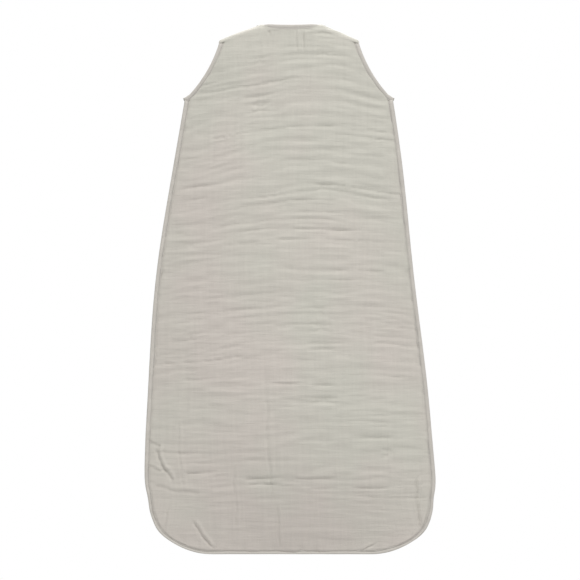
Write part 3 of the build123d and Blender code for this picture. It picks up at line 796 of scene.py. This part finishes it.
def front_cloth(name, side, offset, seed, strength, thickness, grain, zip_half):
    """One half of the front, from hem to tab fold, between zip and side seam."""
    slope = (TAB_FOLD_ARM[0] - TAB_FOLD_NECK[0]) / (TAB_FOLD_ARM[1] - TAB_FOLD_NECK[1])
    low_z = HEM_Z + SEAM_CUT_IN
    z = np.linspace(low_z, TAB_FOLD_NECK[1] - 0.0015, int(0.86 / grain))
    zip_edge = zip_half * smooth((z - ZIP_FOOT_Z + 0.001) / 0.004)
    neck = np.sqrt(np.maximum((FRONT_NECK_R + CUT_IN) ** 2 - (z - FRONT_NECK_C[1]) ** 2, 0))
    near = np.maximum(zip_edge, neck * (z > FRONT_NECK_C[1] - FRONT_NECK_R - CUT_IN))
    cut = np.where(z < ARMPIT[1], SEAM_CUT_IN, CUT_IN)
    fold = TAB_FOLD_NECK[0] + (z - TAB_FOLD_NECK[1] + 0.001) * slope
    far = np.maximum(np.minimum(outline_half(z, 0) - cut, fold), near + 0.0004)
    u = np.linspace(0, 1, int(0.245 / grain))[None]
    x = near[:, None] + (far - near)[:, None] * u
    z = np.broadcast_to(z[:, None], x.shape)
    inward = outline_distance(x, z)
    height = crinkle(seed, side * x, z, strength) * edge_calm(inward)
    height = height * (0.3 + 0.7 * smooth((x - zip_half) / 0.02)) + seam_gather(seed + 20, x, z, inward)
    height = height + edge_pucker(seed + 30, z, x - near[:, None], 0.009, 0.012, 0.0007) * (z > ZIP_FOOT_Z)
    y = front_y(x, z) + offset + np.maximum(height, -0.0016) - tuck(inward, z, offset)
    shade = seam_shade(inward)
    return laid_cloth(name, side * x, y, z, thickness, (0, 1, 0), shade)


def solve_edge(low, high, side_of):
    """Where side_of changes from negative to positive, between arrays low and high."""
    low, high = np.array(low, float), np.array(high, float)
    for _ in range(40):
        middle = (low + high) / 2
        beyond = side_of(middle) > 0
        high = np.where(beyond, middle, high)
        low = np.where(beyond, low, middle)
    return (low + high) / 2


def tab_line(x, r):
    """Height on the tab, from its fold at r 0 to its top edge at r 1."""
    slope = (TAB_FOLD_ARM[1] - TAB_FOLD_NECK[1]) / (TAB_FOLD_ARM[0] - TAB_FOLD_NECK[0])
    fold = TAB_FOLD_NECK[1] - 0.001 + slope * (x - TAB_FOLD_NECK[0])
    return fold + (crest_z(x) - TAB_TOP_DROP - fold) * r


def tab_span(r, inset):
    """Neck edge and armhole edge of the tab at each r."""
    start = np.full_like(r, 0.02)
    middle = np.full_like(r, 0.08)
    end = np.full_like(r, 0.16)

    def past_neck(x):
        return np.hypot(x, tab_line(x, r) - FRONT_NECK_C[1]) - FRONT_NECK_R - inset

    def past_arm(x):
        return ARM_R + inset - np.hypot(x - ARM_C[0], tab_line(x, r) - ARM_C[1])

    return solve_edge(start, middle, past_neck), solve_edge(middle, end, past_arm)


def tab_y(x, z, r):
    """Y of the tab: the front's surface at its fold, lying over the strap above it."""
    flat = strap_face_y(x) + STRAP_TO_TAB + 0.0012
    return flat + (front_y(x, z) + OUTER_OFF - flat) * (1 - smooth(r * 2.6))


def tab_cloth(name, side, seed, strength, thickness, grain):
    """One shoulder tab, from its fold to its top edge."""
    r = np.linspace(0, 1, int(0.042 / grain))
    r_in = r * 0.97
    neck, arm = tab_span(r_in, CUT_IN)
    u = np.linspace(0, 1, int(0.11 / grain))[None]
    x = neck[:, None] + (arm - neck)[:, None] * u
    rr = np.broadcast_to(r_in[:, None], x.shape)
    z = tab_line(x, rr)
    y = tab_y(x, z, rr) + crinkle(seed, side * x, z, strength)
    return laid_cloth(name, side * x, y, z, thickness, (0, 1, 0))


# ---- Bound edges and their stitches ----
def across_fold(foot, top, distances, side):
    """The points at each distance across a fold line, which runs from foot to top, given as (x, z)."""
    dx, dz = top[0] - foot[0], top[1] - foot[1]
    size = math.hypot(dx, dz)
    ux, uz = -dz / size, dx / size
    return [(side * (foot[0] + ux * d), 0, foot[1] + uz * d) for d in distances]


def ride_or_bend(piece, side, where):
    """Lets a piece ride on one body; on the front's fold or a tab's fold it only bakes the piece's transform
    in place.
    """
    hand = "right" if side > 0 else "left"
    if where == "fold":
        ends = across_fold(FOLD_FOOT, FOLD_TOP, FOLD_BAND, side)
        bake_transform(piece)
    elif where == "tab":
        ends = across_fold(TAB_FOLD_NECK, TAB_FOLD_ARM, TAB_BAND, side)
        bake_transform(piece)
    else:
        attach(piece, where)


def clad(piece, side, where, material, slot, *nodes):
    """Gives a finished piece its material and its place, and hides the frame nodes it stands for; slot is not
    used.
    """
    dress(piece, material)
    ride_or_bend(piece, side, where)
    if nodes:
        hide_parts(*nodes)


def bound_edge(
    name, path, normal, side, where, *nodes, width, thick, lump, seed, towards=None, step=0.002, depth=1.0
):
    """A binding along an edge, with a row of stitches on its outer face and one on its inner face."""
    points, tangent, at = resample(path, step)
    along = run_of(path)
    normal = interpolate(at, along, np.broadcast_to(np.asarray(normal, float), (len(along), 3)))
    normal -= tangent * np.sum(normal * tangent, axis=1, keepdims=True)
    normal /= np.linalg.norm(normal, axis=1, keepdims=True)
    inward = np.cross(normal, tangent)
    if towards is not None and np.sum(inward * (np.asarray(towards) - points)) < 0:
        inward = -inward
    width = np.interp(at, along, np.broadcast_to(width, along.shape))
    piece = band(name, points, inward, normal, width, thick, lump, seed, depth)
    clad(piece, side, where, "binding_cotton", "binding_cotton", *nodes)
    sewn = points + inward * (width[:, None] * TRIM_SEWN_AT)
    for face, label in ((1, "outer"), (-1, "inner")):
        row = stitches(f"{name}_{label}_stitches", sewn + normal * (face * thick * 0.3), normal * face)
        clad(row, side, where, "sewing_thread", "binding_cotton")


def outline_path():
    """The sewn outline from one armpit, round the hem, to the other, as (x, z)."""
    z = np.linspace(ARMPIT[1], CORNER_Z, 160)
    right = [(float(outline_half(a)), a) for a in z]
    turn = np.linspace(0, math.pi / 2, 40)[1:]
    right += [(HEM_HALF - CORNER_R + CORNER_R * math.cos(t), CORNER_Z - CORNER_R * math.sin(t)) for t in turn]
    hem = [(a, HEM_Z) for a in np.linspace(HEM_HALF - CORNER_R, -HEM_HALF + CORNER_R, 60)[1:-1]]
    return right + hem + [(-x, z) for x, z in reversed(right)]


ARCH_STEPS = 24
LEG_STEPS = 12


def shoulder_path(x, offset):
    """Over the shoulder at x, from behind to the foot of the strap's front leg."""
    radius, centre_y = arch(x)
    radius = radius - 0.0013 + offset
    mid_z = float(crest_z(x)) - arch(x)[0]
    turn = np.linspace(0, math.pi, ARCH_STEPS)
    path = [(x, centre_y - radius * math.cos(t), mid_z + radius * math.sin(t)) for t in turn]
    normal = [(0, -math.cos(t), math.sin(t)) for t in turn]
    foot = float(crest_z(x)) - STRAP_LEG
    for z in np.linspace(mid_z, foot, LEG_STEPS)[1:]:
        path.append((x, centre_y + radius, z))
        normal.append((0, 1, 0))
    return path, normal


def mirrored(path, side):
    """A path of the right side, or its mirror image on the left."""
    return [(side * x, y, z) for x, y, z in path]


def eased(path, rounds):
    """A path with its corners rounded off."""
    path = np.asarray(path, float)
    for _ in range(rounds):
        middle = (path[:-2] + 2 * path[1:-1] + path[2:]) / 4
        path = np.concatenate([path[:1], middle, path[-1:]])
    return path


def laid_on(piece, x, z, way):
    """Points of a piece's outer face over (x, z), seen along Y; way is 1 for the front, -1 for the back."""
    found = []
    for a, b in zip(x, z):
        hit, place, _, _ = piece.ray_cast((a, way * 0.2, b), (0, -way, 0))
        if hit:
            found.append(tuple(place))
    return np.array(found) + np.array([0, way * 0.0001, 0])


def sewn_row(name, panel, x, z, way, side, where):
    """A row of stitches on a panel's outer face over (x, z), which moves as the panel does there."""
    line = laid_on(bpy.data.objects[panel], x, z, way)
    row = stitches(name, line, np.tile((0, way, 0), (len(line), 1)))
    clad(row, side, where, "sewing_thread", "binding_cotton")


def front_seed(side):
    """Seed of one front half's crinkles, which its tab shares."""
    return 300 + 100 * side


def panel_area(piece):
    """Flat area of a panel's pattern, from the flat places stored on its outer side."""
    mesh = piece.data
    uv = np.empty(len(mesh.loops) * 2)
    mesh.uv_layers[0].data.foreach_get("uv", uv)
    uv = uv.reshape(-1, 4, 2)
    a, b = uv[:, 2] - uv[:, 0], uv[:, 3] - uv[:, 1]
    return float(np.abs(a[:, 0] * b[:, 1] - a[:, 1] * b[:, 0]).sum() / 4)


class SLEEPBAG_OT_panels(bpy.types.Operator):
    """Make the crinkled muslin panels: back with its shoulder straps, both fronts and the lining"""

    bl_idname = "sleepbag.panels"
    bl_label = "Muslin panels"

    def execute(self, context):
        size = context.scene.sleeping_bag
        grain, full = size.cloth_grain, size.crinkle
        thick, thin = size.outer_thickness, size.lining_thickness
        outer = back_cloth("back_outer", OUTER_OFF, 100, full, thick, grain)
        back_nodes = ("back_panel", "left_back_strap", "right_back_strap")
        clad(outer, 1, "bag", "crinkled_muslin", "outer_muslin", *back_nodes)
        inner = back_cloth("back_inside", LINING_OFF, 100, full, thin, grain)
        clad(inner, 1, "bag", "lining_muslin", "lining_muslin", "back_lining")
        outer_area, inner_area = panel_area(outer), panel_area(inner)
        for side, hand in HANDS:
            seed, front = front_seed(side), f"{hand}_front"
            outer = front_cloth(f"{front}_outer", side, OUTER_OFF, seed, full, thick, grain, zip_half=0.005)
            outer_nodes = (f"{front}_side", f"{front}_flap")
            clad(outer, side, "fold", "crinkled_muslin", "outer_muslin", *outer_nodes)
            inner = front_cloth(f"{front}_inside", side, LINING_OFF, seed, full, thin, grain, zip_half=0.008)
            lining_nodes = (f"{hand}_lining_side", f"{hand}_lining_flap")
            clad(inner, side, "fold", "lining_muslin", "lining_muslin", *lining_nodes)
            for piece in (outer, inner):
                panel_area(piece)
        return {"FINISHED"}


class SLEEPBAG_OT_tabs(bpy.types.Operator):
    """Make the shoulder tabs and their bindings"""

    bl_idname = "sleepbag.tabs"
    bl_label = "Shoulder tabs"

    def execute(self, context):
        size = context.scene.sleeping_bag
        for side, hand in HANDS:
            seed, strength = front_seed(side), size.crinkle * 0.5
            tab = tab_cloth(f"{hand}_shoulder_tab", side, seed, strength, 0.0022, size.cloth_grain)
            clad(tab, side, "tab", "crinkled_muslin", "outer_muslin", f"{hand}_front_tab")
            panel_area(tab)
            r = np.linspace(0, 1, 24)
            neck, arm = tab_span(r, 0.0)
            ring = [(x, t) for x, t in zip(neck, r)]
            ring += [(x, 1.0) for x in np.linspace(neck[-1], arm[-1], 30)[1:-1]]
            ring += [(x, t) for x, t in zip(arm[::-1], r[::-1])]
            ring = eased(ring, 10)
            x, t = ring[:, 0], ring[:, 1]
            z = tab_line(x, t)
            path = mirrored(np.stack([x, tab_y(x, z, t), z], -1), side)
            normal = (side * TAB_FACING[0], TAB_FACING[1], 0)
            middle = (side * TAB_MIDDLE[0], strap_face_y(TAB_MIDDLE[0]), TAB_MIDDLE[1])
            bound_edge(
                f"{hand}_tab_trim", path, normal, side, "tab", f"{hand}_tab_binding",
                width=0.0058, thick=0.0030, lump=0.06, seed=40 + side, towards=middle, step=0.0015,
            )
        return {"FINISHED"}


class SLEEPBAG_OT_edges(bpy.types.Operator):
    """Make the side and hem binding, the neck and armhole bindings, and every row of stitches on them"""

    bl_idname = "sleepbag.edges"
    bl_label = "Bound edges"

    def execute(self, context):
        path = [(x, 0.0, z) for x, z in outline_path()]
        wave = noise(90, [p[0] * 1.1 + p[2] for p in path], [p[2] - p[0] for p in path], 0.02, 0.03)
        path = [(x, 0.0007 * w, z) for (x, y, z), w in zip(path, wave)]
        across, up = np.array([p[0] for p in path]), np.array([p[2] for p in path])
        waver = noise(93, across, up * 0 + 0.1, 0.026, 0.1)
        roll = trim_width(up) + 0.0013 * waver * smooth((-0.87 - up) / 0.02)
        bound_edge(
            "side_and_hem_trim", path, (0, -1, 0), 1, "bag", "side_hem_binding",
            width=roll, thick=0.0062, lump=0.10, seed=50, towards=(0, 0, -0.5),
        )
        for side, hand in HANDS:
            z = np.linspace(ARMPIT[1] - 0.001, SHOULDER_POINT[1], 50)
            x = outline_half(np.clip(z, ARMPIT[1] + 1e-5, SHOULDER_POINT[1] - 1e-5))
            y = back_y(x, z) - 0.0015
            arch_y = arch(SHOULDER_HALF)[1] - arch(SHOULDER_HALF)[0] + 0.0013
            y = y + (arch_y - y[-1]) * smooth((z - z[-1] + 0.03) / 0.03)
            tail = [
                (ARMPIT[0] + 0.003, 0.0008, ARMPIT[1] + 0.002),
                (ARMPIT[0] - 0.0005, -0.0006, ARMPIT[1] + 0.0032),
            ]
            armhole = [(a, b, c) for a, b, c in zip(x, y, z) if c > ARMPIT[1] + 0.007]
            over, over_normal = shoulder_path(SHOULDER_HALF, -0.0008)
            line = tail + armhole + over[1:]
            normal = [(0, -1, 0)] * (len(tail) + len(armhole)) + over_normal[1:]
            bound_edge(
                f"{hand}_armhole_trim", mirrored(line, side), mirrored(normal, side), side, "bag",
                f"{hand}_back_armhole_binding", f"{hand}_armpit_tack",
                width=0.0082, thick=0.0036, lump=0.08, seed=60 + side, towards=(side * 0.05, 0, -0.06),
            )
            foot = []
            for a in np.linspace(SHOULDER_HALF, NECK_HALF, 20):
                foot.append((a, float(strap_face_y(a)) - 0.0013, float(crest_z(a)) - STRAP_LEG))
            bound_edge(
                f"{hand}_strap_hem", mirrored(foot, side), (0, 1, 0), side, "bag",
                width=0.006, thick=0.0034, lump=0.05, seed=70 + side, towards=(side * 0.088, 0, -0.02),
            )
        # Up the strap's front leg and half way over the shoulder, across the back of the neck, and down again
        over, over_normal = shoulder_path(NECK_HALF, -0.0016)
        crest = len(over) - ARCH_STEPS // 2
        start = over[::-1][:crest]
        start_normal = over_normal[::-1][:crest]
        across = []
        across_normal = []
        for a in np.linspace(NECK_HALF, -NECK_HALF, 61)[1:-1]:
            meet = float(smooth((abs(a) - NECK_TURN) / (NECK_HALF - NECK_TURN)))
            z = -BACK_NECK_DIP * (1 - (a / NECK_HALF) ** 2)
            low = float(back_y(a, -NECK_ARCH[0])) - 0.0015
            y = low * (1 - meet) + (NECK_ARCH[1] - 0.0005) * meet
            across.append((a, y, z - 0.0012 * meet))
            across_normal.append((0, -1 + 0.35 * meet, 0.75 * meet))
        line = start + across + mirrored(reversed(start), -1)
        normal = start_normal + across_normal + mirrored(reversed(start_normal), -1)
        # The neck binding gets less painted shade in its groove, depth 0.3.
        bound_edge(
            "neck_trim", eased(line, 12), normal, 1, "bag", "back_neck_binding",
            width=0.0074, thick=0.0032, lump=0.07, seed=80, depth=0.3,
        )
        for side, hand in HANDS:
            z = np.linspace(ARMPIT[1] + 0.0005, TAB_FOLD_ARM[1] - 0.0005, 40)
            x = outline_half(z)
            line = list(zip(x, front_y(x, z) + 0.0015, z))
            line = [(ARMPIT[0] + 0.0015, 0.0012, ARMPIT[1] + 0.002)] + line[3:]
            bound_edge(
                f"{hand}_front_armhole_trim", mirrored(line, side), (0, 1, 0), side, "fold",
                f"{hand}_flap_armhole_binding",
                width=0.0082, thick=0.0034, lump=0.08, seed=95 + side, towards=(side * 0.05, 0, -0.2),
            )
            turn_start = math.atan2(TAB_FOLD_NECK[1] - 0.0005 - FRONT_NECK_C[1], TAB_FOLD_NECK[0])
            turn_end = -math.pi / 2 + math.asin(0.0052 / FRONT_NECK_R)
            line = []
            for t in np.linspace(turn_start, turn_end, 36):
                a, c = FRONT_NECK_R * math.cos(t), FRONT_NECK_C[1] + FRONT_NECK_R * math.sin(t)
                line.append((a, float(front_y(a, c)) + 0.0016, c))
            bound_edge(
                f"{hand}_front_neck_trim", mirrored(line, side), (0, 1, 0), side,
                f"{hand}_flap", f"{hand}_flap_neck_binding",
                width=0.0080, thick=0.0034, lump=0.06, seed=105 + side, towards=(side * 0.05, 0, -0.2),
            )
        return {"FINISHED"}


# ---- Zip ----
# Rings of one moulded tooth, from its foot on the tape to its rounded head past the middle: x, half depth and
# half height in millimetres
TOOTH_RINGS = (
    (2.9, 0.92, 0.80),
    (2.6, 0.96, 0.86),
    (1.6, 0.96, 0.80),
    (0.9, 0.96, 0.56),
    (0.3, 0.96, 0.52),
    (-0.2, 0.96, 0.72),
    (-0.75, 0.84, 0.66),
    (-0.95, 0.45, 0.35),
)
TOOTH_SIDES = 8


def tooth_shape():
    """One moulded tooth as rings of (x, y, z)."""
    turn = np.arange(TOOTH_SIDES) * TAU / TOOTH_SIDES + TAU / (2 * TOOTH_SIDES)
    around, up = (np.sign(c) * np.abs(c) ** 0.6 for c in (np.sin(turn), np.cos(turn)))
    rings = []
    for x, deep, tall in TOOTH_RINGS:
        rings.append(np.stack([np.full(TOOTH_SIDES, x), around * deep, up * tall], -1))
    return np.stack(rings) * MM


def teeth_row(name, side, low_z, high_z, pitch, phase):
    """The teeth of one tape between two heights; every row sits on the same grid of heights."""
    shape = tooth_shape()
    shape[..., 0] *= side
    levels = pitch * (np.arange(math.ceil(low_z / pitch - phase), math.ceil(high_z / pitch - phase)) + phase)
    verts, faces = [], []
    each = len(TOOTH_RINGS) * TOOTH_SIDES
    for k, z in enumerate(levels):
        first, last = k * each, (k + 1) * each
        verts.append((shape + np.array([0, ZIP_MID_Y, z])).reshape(-1, 3))
        tooth = grid_faces(len(TOOTH_RINGS), TOOTH_SIDES, first, wrap=True)
        tooth.append(tuple(range(first + TOOTH_SIDES - 1, first - 1, -1)))
        tooth.append(tuple(range(last - TOOTH_SIDES, last)))
        faces += tooth if side > 0 else [tuple(reversed(f)) for f in tooth]
    return face_outward(new_mesh(name, np.concatenate(verts), faces))


TAPE_NEAR, TAPE_FAR = 0.0021, 0.0135


def tape_strip(name, side, low_z, high_z):
    """Woven tape with a corded edge beside the teeth."""
    z = np.arange(low_z, high_z, 0.003)
    shares = np.array([0, 0.06, 0.12, 0.2, 0.3, 0.5, 0.75, 1.0])
    x = TAPE_NEAR + (TAPE_FAR - TAPE_NEAR) * shares
    proud = np.array([0.0, 0.0006, 0.0006, 0.0, 0, 0, 0, 0])
    xx, zz = np.meshgrid(x, z)
    lift = np.broadcast_to(proud, xx.shape)
    y = ZIP_MID_Y - 0.0001 + lift * 0.4 + 0.00012 * noise(8, xx, zz, 0.02, 0.03)
    return cloth(name, np.stack([side * xx, y, zz], -1), np.stack([xx, zz], -1), 0.0009, (0, 1, 0))


def stop_block(name, middle, half):
    """A small moulded block with rounded edges."""
    side = np.linspace(-1, 1, 5)
    verts, faces = [], []
    for axis in range(3):
        for sign in (-1, 1):
            a, b = np.meshgrid(side, side, indexing="ij")
            face = np.empty((5, 5, 3))
            face[..., axis], face[..., (axis + 1) % 3], face[..., (axis + 2) % 3] = sign, a, b
            size = (np.abs(face) ** 5).sum(-1, keepdims=True) ** 0.2
            start = len(verts) * 25
            verts.append((face / size * np.asarray(half) + np.asarray(middle)).reshape(-1, 3))
            quads = grid_faces(5, 5, start)
            faces += [tuple(reversed(f)) for f in quads] if sign < 0 else quads
    block = new_mesh(name, np.concatenate(verts), faces)
    return face_outward(block, join=True)


# Guard strip behind the zip, and the facing behind its foot
GUARD_X = (-0.0215, 0.0035)
GUARD_Z = (-0.765, -0.0675)
FACING_X = (-0.0125, 0.0125)
FACING_Z = (-0.841, -0.7635)
ZIP_STITCH_X = 0.0078


class SLEEPBAG_OT_zip(bpy.types.Operator):
    """Make the zip's tapes, moulded teeth, stitching and inner guard, and finish its slider and pull"""

    bl_idname = "sleepbag.zip"
    bl_label = "Zip"

    def execute(self, context):
        pitch = context.scene.sleeping_bag.tooth_pitch
        foot_top, foot_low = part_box("zip_foot_teeth")[1][2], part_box("zip_foot_teeth")[0][2]
        flap_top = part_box("right_zip_teeth")[1][2] - 0.001
        slider_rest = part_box("zip_slider")[1][2] - ZIP_TRAVEL
        for side, hand, phase in ((1, "right", 0.0), (-1, "left", 0.5)):
            teeth = teeth_row(f"{hand}_teeth", side, slider_rest, flap_top, pitch, phase)
            clad(teeth, side, "fold", "moulded_teeth", "zip_teeth", f"{hand}_zip_teeth")
            tape = tape_strip(f"{hand}_tape", side, foot_top, -0.0605)
            clad(tape, side, "fold", "zip_tape", "zip_tape", f"{hand}_zip_tape")
            foot = teeth_row(f"{hand}_foot_teeth", side, foot_low + 0.0036, slider_rest, pitch, phase)
            clad(foot, side, "bag", "moulded_teeth", "zip_teeth", "zip_foot_teeth")
            foot_tape = tape_strip(f"{hand}_foot_tape", side, foot_low - 0.008, foot_top + 0.002)
            clad(foot_tape, side, "bag", "zip_tape", "zip_tape", "zip_foot_tape")
            z = np.arange(ZIP_FOOT_Z + 0.004, -0.064, 0.004)
            x = np.full_like(z, ZIP_STITCH_X)
            sewn_row(f"{hand}_zip_stitches", f"{hand}_front_outer", side * x, z, 1, side, "fold")
        stop = stop_block("zip_bottom_stop", (0.0, ZIP_MID_Y, foot_low + 0.0016), (0.0034, 0.0016, 0.0017))
        clad(stop, 1, "bag", "moulded_teeth", "zip_teeth")
        for side, hand in HANDS:
            low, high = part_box(f"{hand}_zip_top_stop")
            middle = (Vector(low) + Vector(high)) / 2
            half = (Vector(high) - Vector(low)) / 2
            top = stop_block(f"{hand}_top_stop_block", middle, (half.x * 1.15, half.y * 1.05, half.z * 1.05))
            clad(top, side, f"{hand}_flap", "moulded_teeth", "zip_teeth", f"{hand}_zip_top_stop")
        x, z = even_grid(GUARD_X, GUARD_Z, 13, 230)
        y = front_y(x, z) - 0.0016 + 0.0005 * noise(31, x, z, 0.02, 0.012) * smooth((x + 0.02) / 0.01)
        y = y + 0.0012 * smooth((-0.0155 - x) / 0.004)
        guard = laid_cloth("zip_guard_strip", x, y, z, 0.001, (0, -1, 0))
        clad(guard, -1, "fold", "lining_muslin", "lining_muslin", "zip_guard")
        x, z = even_grid(FACING_X, FACING_Z, 11, 32)
        y = front_y(x, z) - 0.0019 - 0.0013 * smooth((z + 0.838) / 0.024)
        facing = laid_cloth("zip_foot_facing", x, y, z, 0.0008, (0, -1, 0))
        clad(facing, 1, "bag", "lining_muslin", "lining_muslin")
        for node in ("zip_slider", "zip_pull"):
            dress(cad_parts[node], "enamel")
        return {"FINISHED"}


class SLEEPBAG_OT_snaps(bpy.types.Operator):
    """Finish the ring snaps and make the neck label with its stitching"""

    bl_idname = "sleepbag.snaps"
    bl_label = "Snaps and label"

    def execute(self, context):
        for name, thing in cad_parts.items():
            if "_snap_" in name:
                dress(thing, "enamel" if name.endswith("cap") else "stamped_steel")
        low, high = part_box("neck_label")
        x, z = even_grid((low[0], high[0]), (low[2], high[2]), 13, 30)
        curl = 0.0006 * np.cos((x - low[0]) / (high[0] - low[0]) * math.pi) * smooth((high[2] - z) / 0.03)
        y = back_y(x, z) + 0.0006 + np.abs(curl)
        label = laid_cloth("blank_neck_label", x, y, z, 0.0006, (0, 1, 0))
        clad(label, 1, "bag", "satin_label", "label", "neck_label")
        for k, x in enumerate((low[0], high[0])):
            z = np.arange(low[2] - 0.002, high[2], 0.003)
            sewn_row(f"label_stitches_{k}", "back_outer", np.full_like(z, x), z, -1, 1, "bag")
        return {"FINISHED"}


FLOOR_HALF, FLOOR_Z = 2.9, -1.6
KEY_PLACE = (0.7, -4.1, 5.7)
KEY_SIZE = 2.2
KEY_AIM = (0, 0, -0.42)
CAMERA_X, CAMERA_Z = 0.0017, -0.4519


class SLEEPBAG_OT_stage(bpy.types.Operator):
    """Make the floor, the soft light and the camera"""

    bl_idname = "sleepbag.stage"
    bl_label = "Floor, light and camera"

    def execute(self, context):
        look = context.scene.sleeping_bag
        corners = [(a * FLOOR_HALF, b * FLOOR_HALF, FLOOR_Z) for a, b in ((-1, -1), (1, -1), (1, 1), (-1, 1))]
        floor = new_mesh("floor", corners, [(0, 1, 2, 3)], soft=False)
        plain = Finish("plain_floor", base_color=(0.66, 0.66, 0.66, 1), roughness=0.9, specular_ior_level=0.1)
        floor.data.materials.append(plain.material)
        world = bpy.data.worlds.new("plain_white")
        world.use_nodes = True
        tree = world.node_tree
        light, seen = tree.nodes["Background"], tree.nodes.new("ShaderNodeBackground")
        for part, strength in ((light, look.surround), (seen, 1.0)):
            part.inputs[0].default_value = (1, 1, 1, 1)
            part.inputs[1].default_value = strength
        chosen, path = tree.nodes.new("ShaderNodeMixShader"), tree.nodes.new("ShaderNodeLightPath")
        tree.links.new(path.outputs["Is Camera Ray"], chosen.inputs[0])
        tree.links.new(light.outputs[0], chosen.inputs[1])
        tree.links.new(seen.outputs[0], chosen.inputs[2])
        tree.links.new(chosen.outputs[0], tree.nodes["World Output"].inputs[0])
        context.scene.world = world
        for name, turn in (("back_key", 1), ("front_key", -1)):
            light = bpy.data.lights.new(name, "AREA")
            light.energy, light.size = look.key_power, KEY_SIZE
            lamp = bpy.data.objects.new(name, light)
            lamp.location = (turn * KEY_PLACE[0], turn * KEY_PLACE[1], KEY_PLACE[2])
            aim = Vector(KEY_AIM) - lamp.location
            lamp.rotation_euler = aim.to_track_quat("-Z", "Y").to_euler()
            context.scene.collection.objects.link(lamp)
        camera = bpy.data.cameras.new("camera")
        stand = bpy.data.objects.new("camera", camera)
        camera.sensor_width = 36
        camera.lens = 36 * look.camera_distance / look.frame_height
        stand.location = (CAMERA_X, -look.camera_distance, CAMERA_Z)
        stand.rotation_euler = (math.pi / 2, 0, 0)
        context.scene.collection.objects.link(stand)
        context.scene.camera = stand
        context.scene.view_settings.view_transform = "Standard"
        context.scene.view_settings.look = "None"
        return {"FINISHED"}


class SleepingBagSettings(bpy.types.PropertyGroup):
    muslin_colour: bpy.props.FloatVectorProperty(
        name="Muslin", description="Colour of the outer muslin", subtype="COLOR", size=3, min=0, max=1,
        default=(0.547, 0.521, 0.473),
    )
    binding_colour: bpy.props.FloatVectorProperty(
        name="Binding", description="Colour of the bound edges and thread", subtype="COLOR", size=3, min=0,
        max=1, default=(0.540, 0.512, 0.468),
    )
    hard_colour: bpy.props.FloatVectorProperty(
        name="Zip and snaps", description="Colour of the zip's teeth, slider and the snap caps",
        subtype="COLOR", size=3, min=0, max=1, default=(0.46, 0.435, 0.395),
    )
    crinkle: bpy.props.FloatProperty(
        name="Crinkle", description="Depth of the muslin's crinkles, 1 being as woven and washed",
        default=1.0, min=0, max=2,
    )
    cloth_grain: bpy.props.FloatProperty(
        name="Mesh grain", description="Spacing of the cloth's mesh points", default=0.0025, min=0.0015,
        max=0.02, unit="LENGTH",
    )
    outer_thickness: bpy.props.FloatProperty(
        name="Outer cloth", description="Thickness of the outer muslin", default=0.0012, min=0.0004,
        max=0.003, unit="LENGTH",
    )
    lining_thickness: bpy.props.FloatProperty(
        name="Lining", description="Thickness of the lining", default=0.0008, min=0.0003, max=0.003,
        unit="LENGTH",
    )
    tooth_pitch: bpy.props.FloatProperty(
        name="Tooth pitch", description="Distance from one zip tooth to the next on the same tape",
        default=0.0029, min=0.002, max=0.006, unit="LENGTH",
    )
    surround: bpy.props.FloatProperty(
        name="Surround", description="Strength of the even white light", default=0.42, min=0, max=3,
    )
    key_power: bpy.props.FloatProperty(
        name="Key light", description="Power of the soft lights above", default=490.0, min=0, max=5000,
        unit="POWER",
    )
    camera_distance: bpy.props.FloatProperty(
        name="Camera distance", description="From the bag's side seams to the camera", default=3.2, min=1,
        max=10, unit="LENGTH",
    )
    frame_height: bpy.props.FloatProperty(
        name="View height", description="Height seen by the camera at the side seams", default=0.989, min=0.2,
        max=5, unit="LENGTH",
    )


class SLEEPBAG_PT_panel(bpy.types.Panel):
    bl_label = "Sleeping Bag"
    bl_space_type = "VIEW_3D"
    bl_region_type = "UI"
    bl_category = "Sleeping Bag"

    def draw(self, context):
        settings = context.scene.sleeping_bag
        for name in SleepingBagSettings.__annotations__:
            self.layout.prop(settings, name)
        for maker in MAKERS:
            self.layout.operator(maker.bl_idname)


MAKERS = (
    SLEEPBAG_OT_stage,
    SLEEPBAG_OT_panels,
    SLEEPBAG_OT_tabs,
    SLEEPBAG_OT_edges,
    SLEEPBAG_OT_zip,
    SLEEPBAG_OT_snaps,
)
CLASSES = (SleepingBagSettings, *MAKERS, SLEEPBAG_PT_panel)


def register():
    for cls in CLASSES:
        bpy.utils.register_class(cls)
    bpy.types.Scene.sleeping_bag = bpy.props.PointerProperty(type=SleepingBagSettings)


def unregister():
    del bpy.types.Scene.sleeping_bag
    for cls in reversed(CLASSES):
        bpy.utils.unregister_class(cls)


def main():
    register()
    bpy.ops.sleepbag.stage()
    bpy.ops.sleepbag.panels()
    bpy.ops.sleepbag.tabs()
    bpy.ops.sleepbag.edges()
    bpy.ops.sleepbag.zip()
    bpy.ops.sleepbag.snaps()
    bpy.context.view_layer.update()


if __name__ == "__main__":
    main()
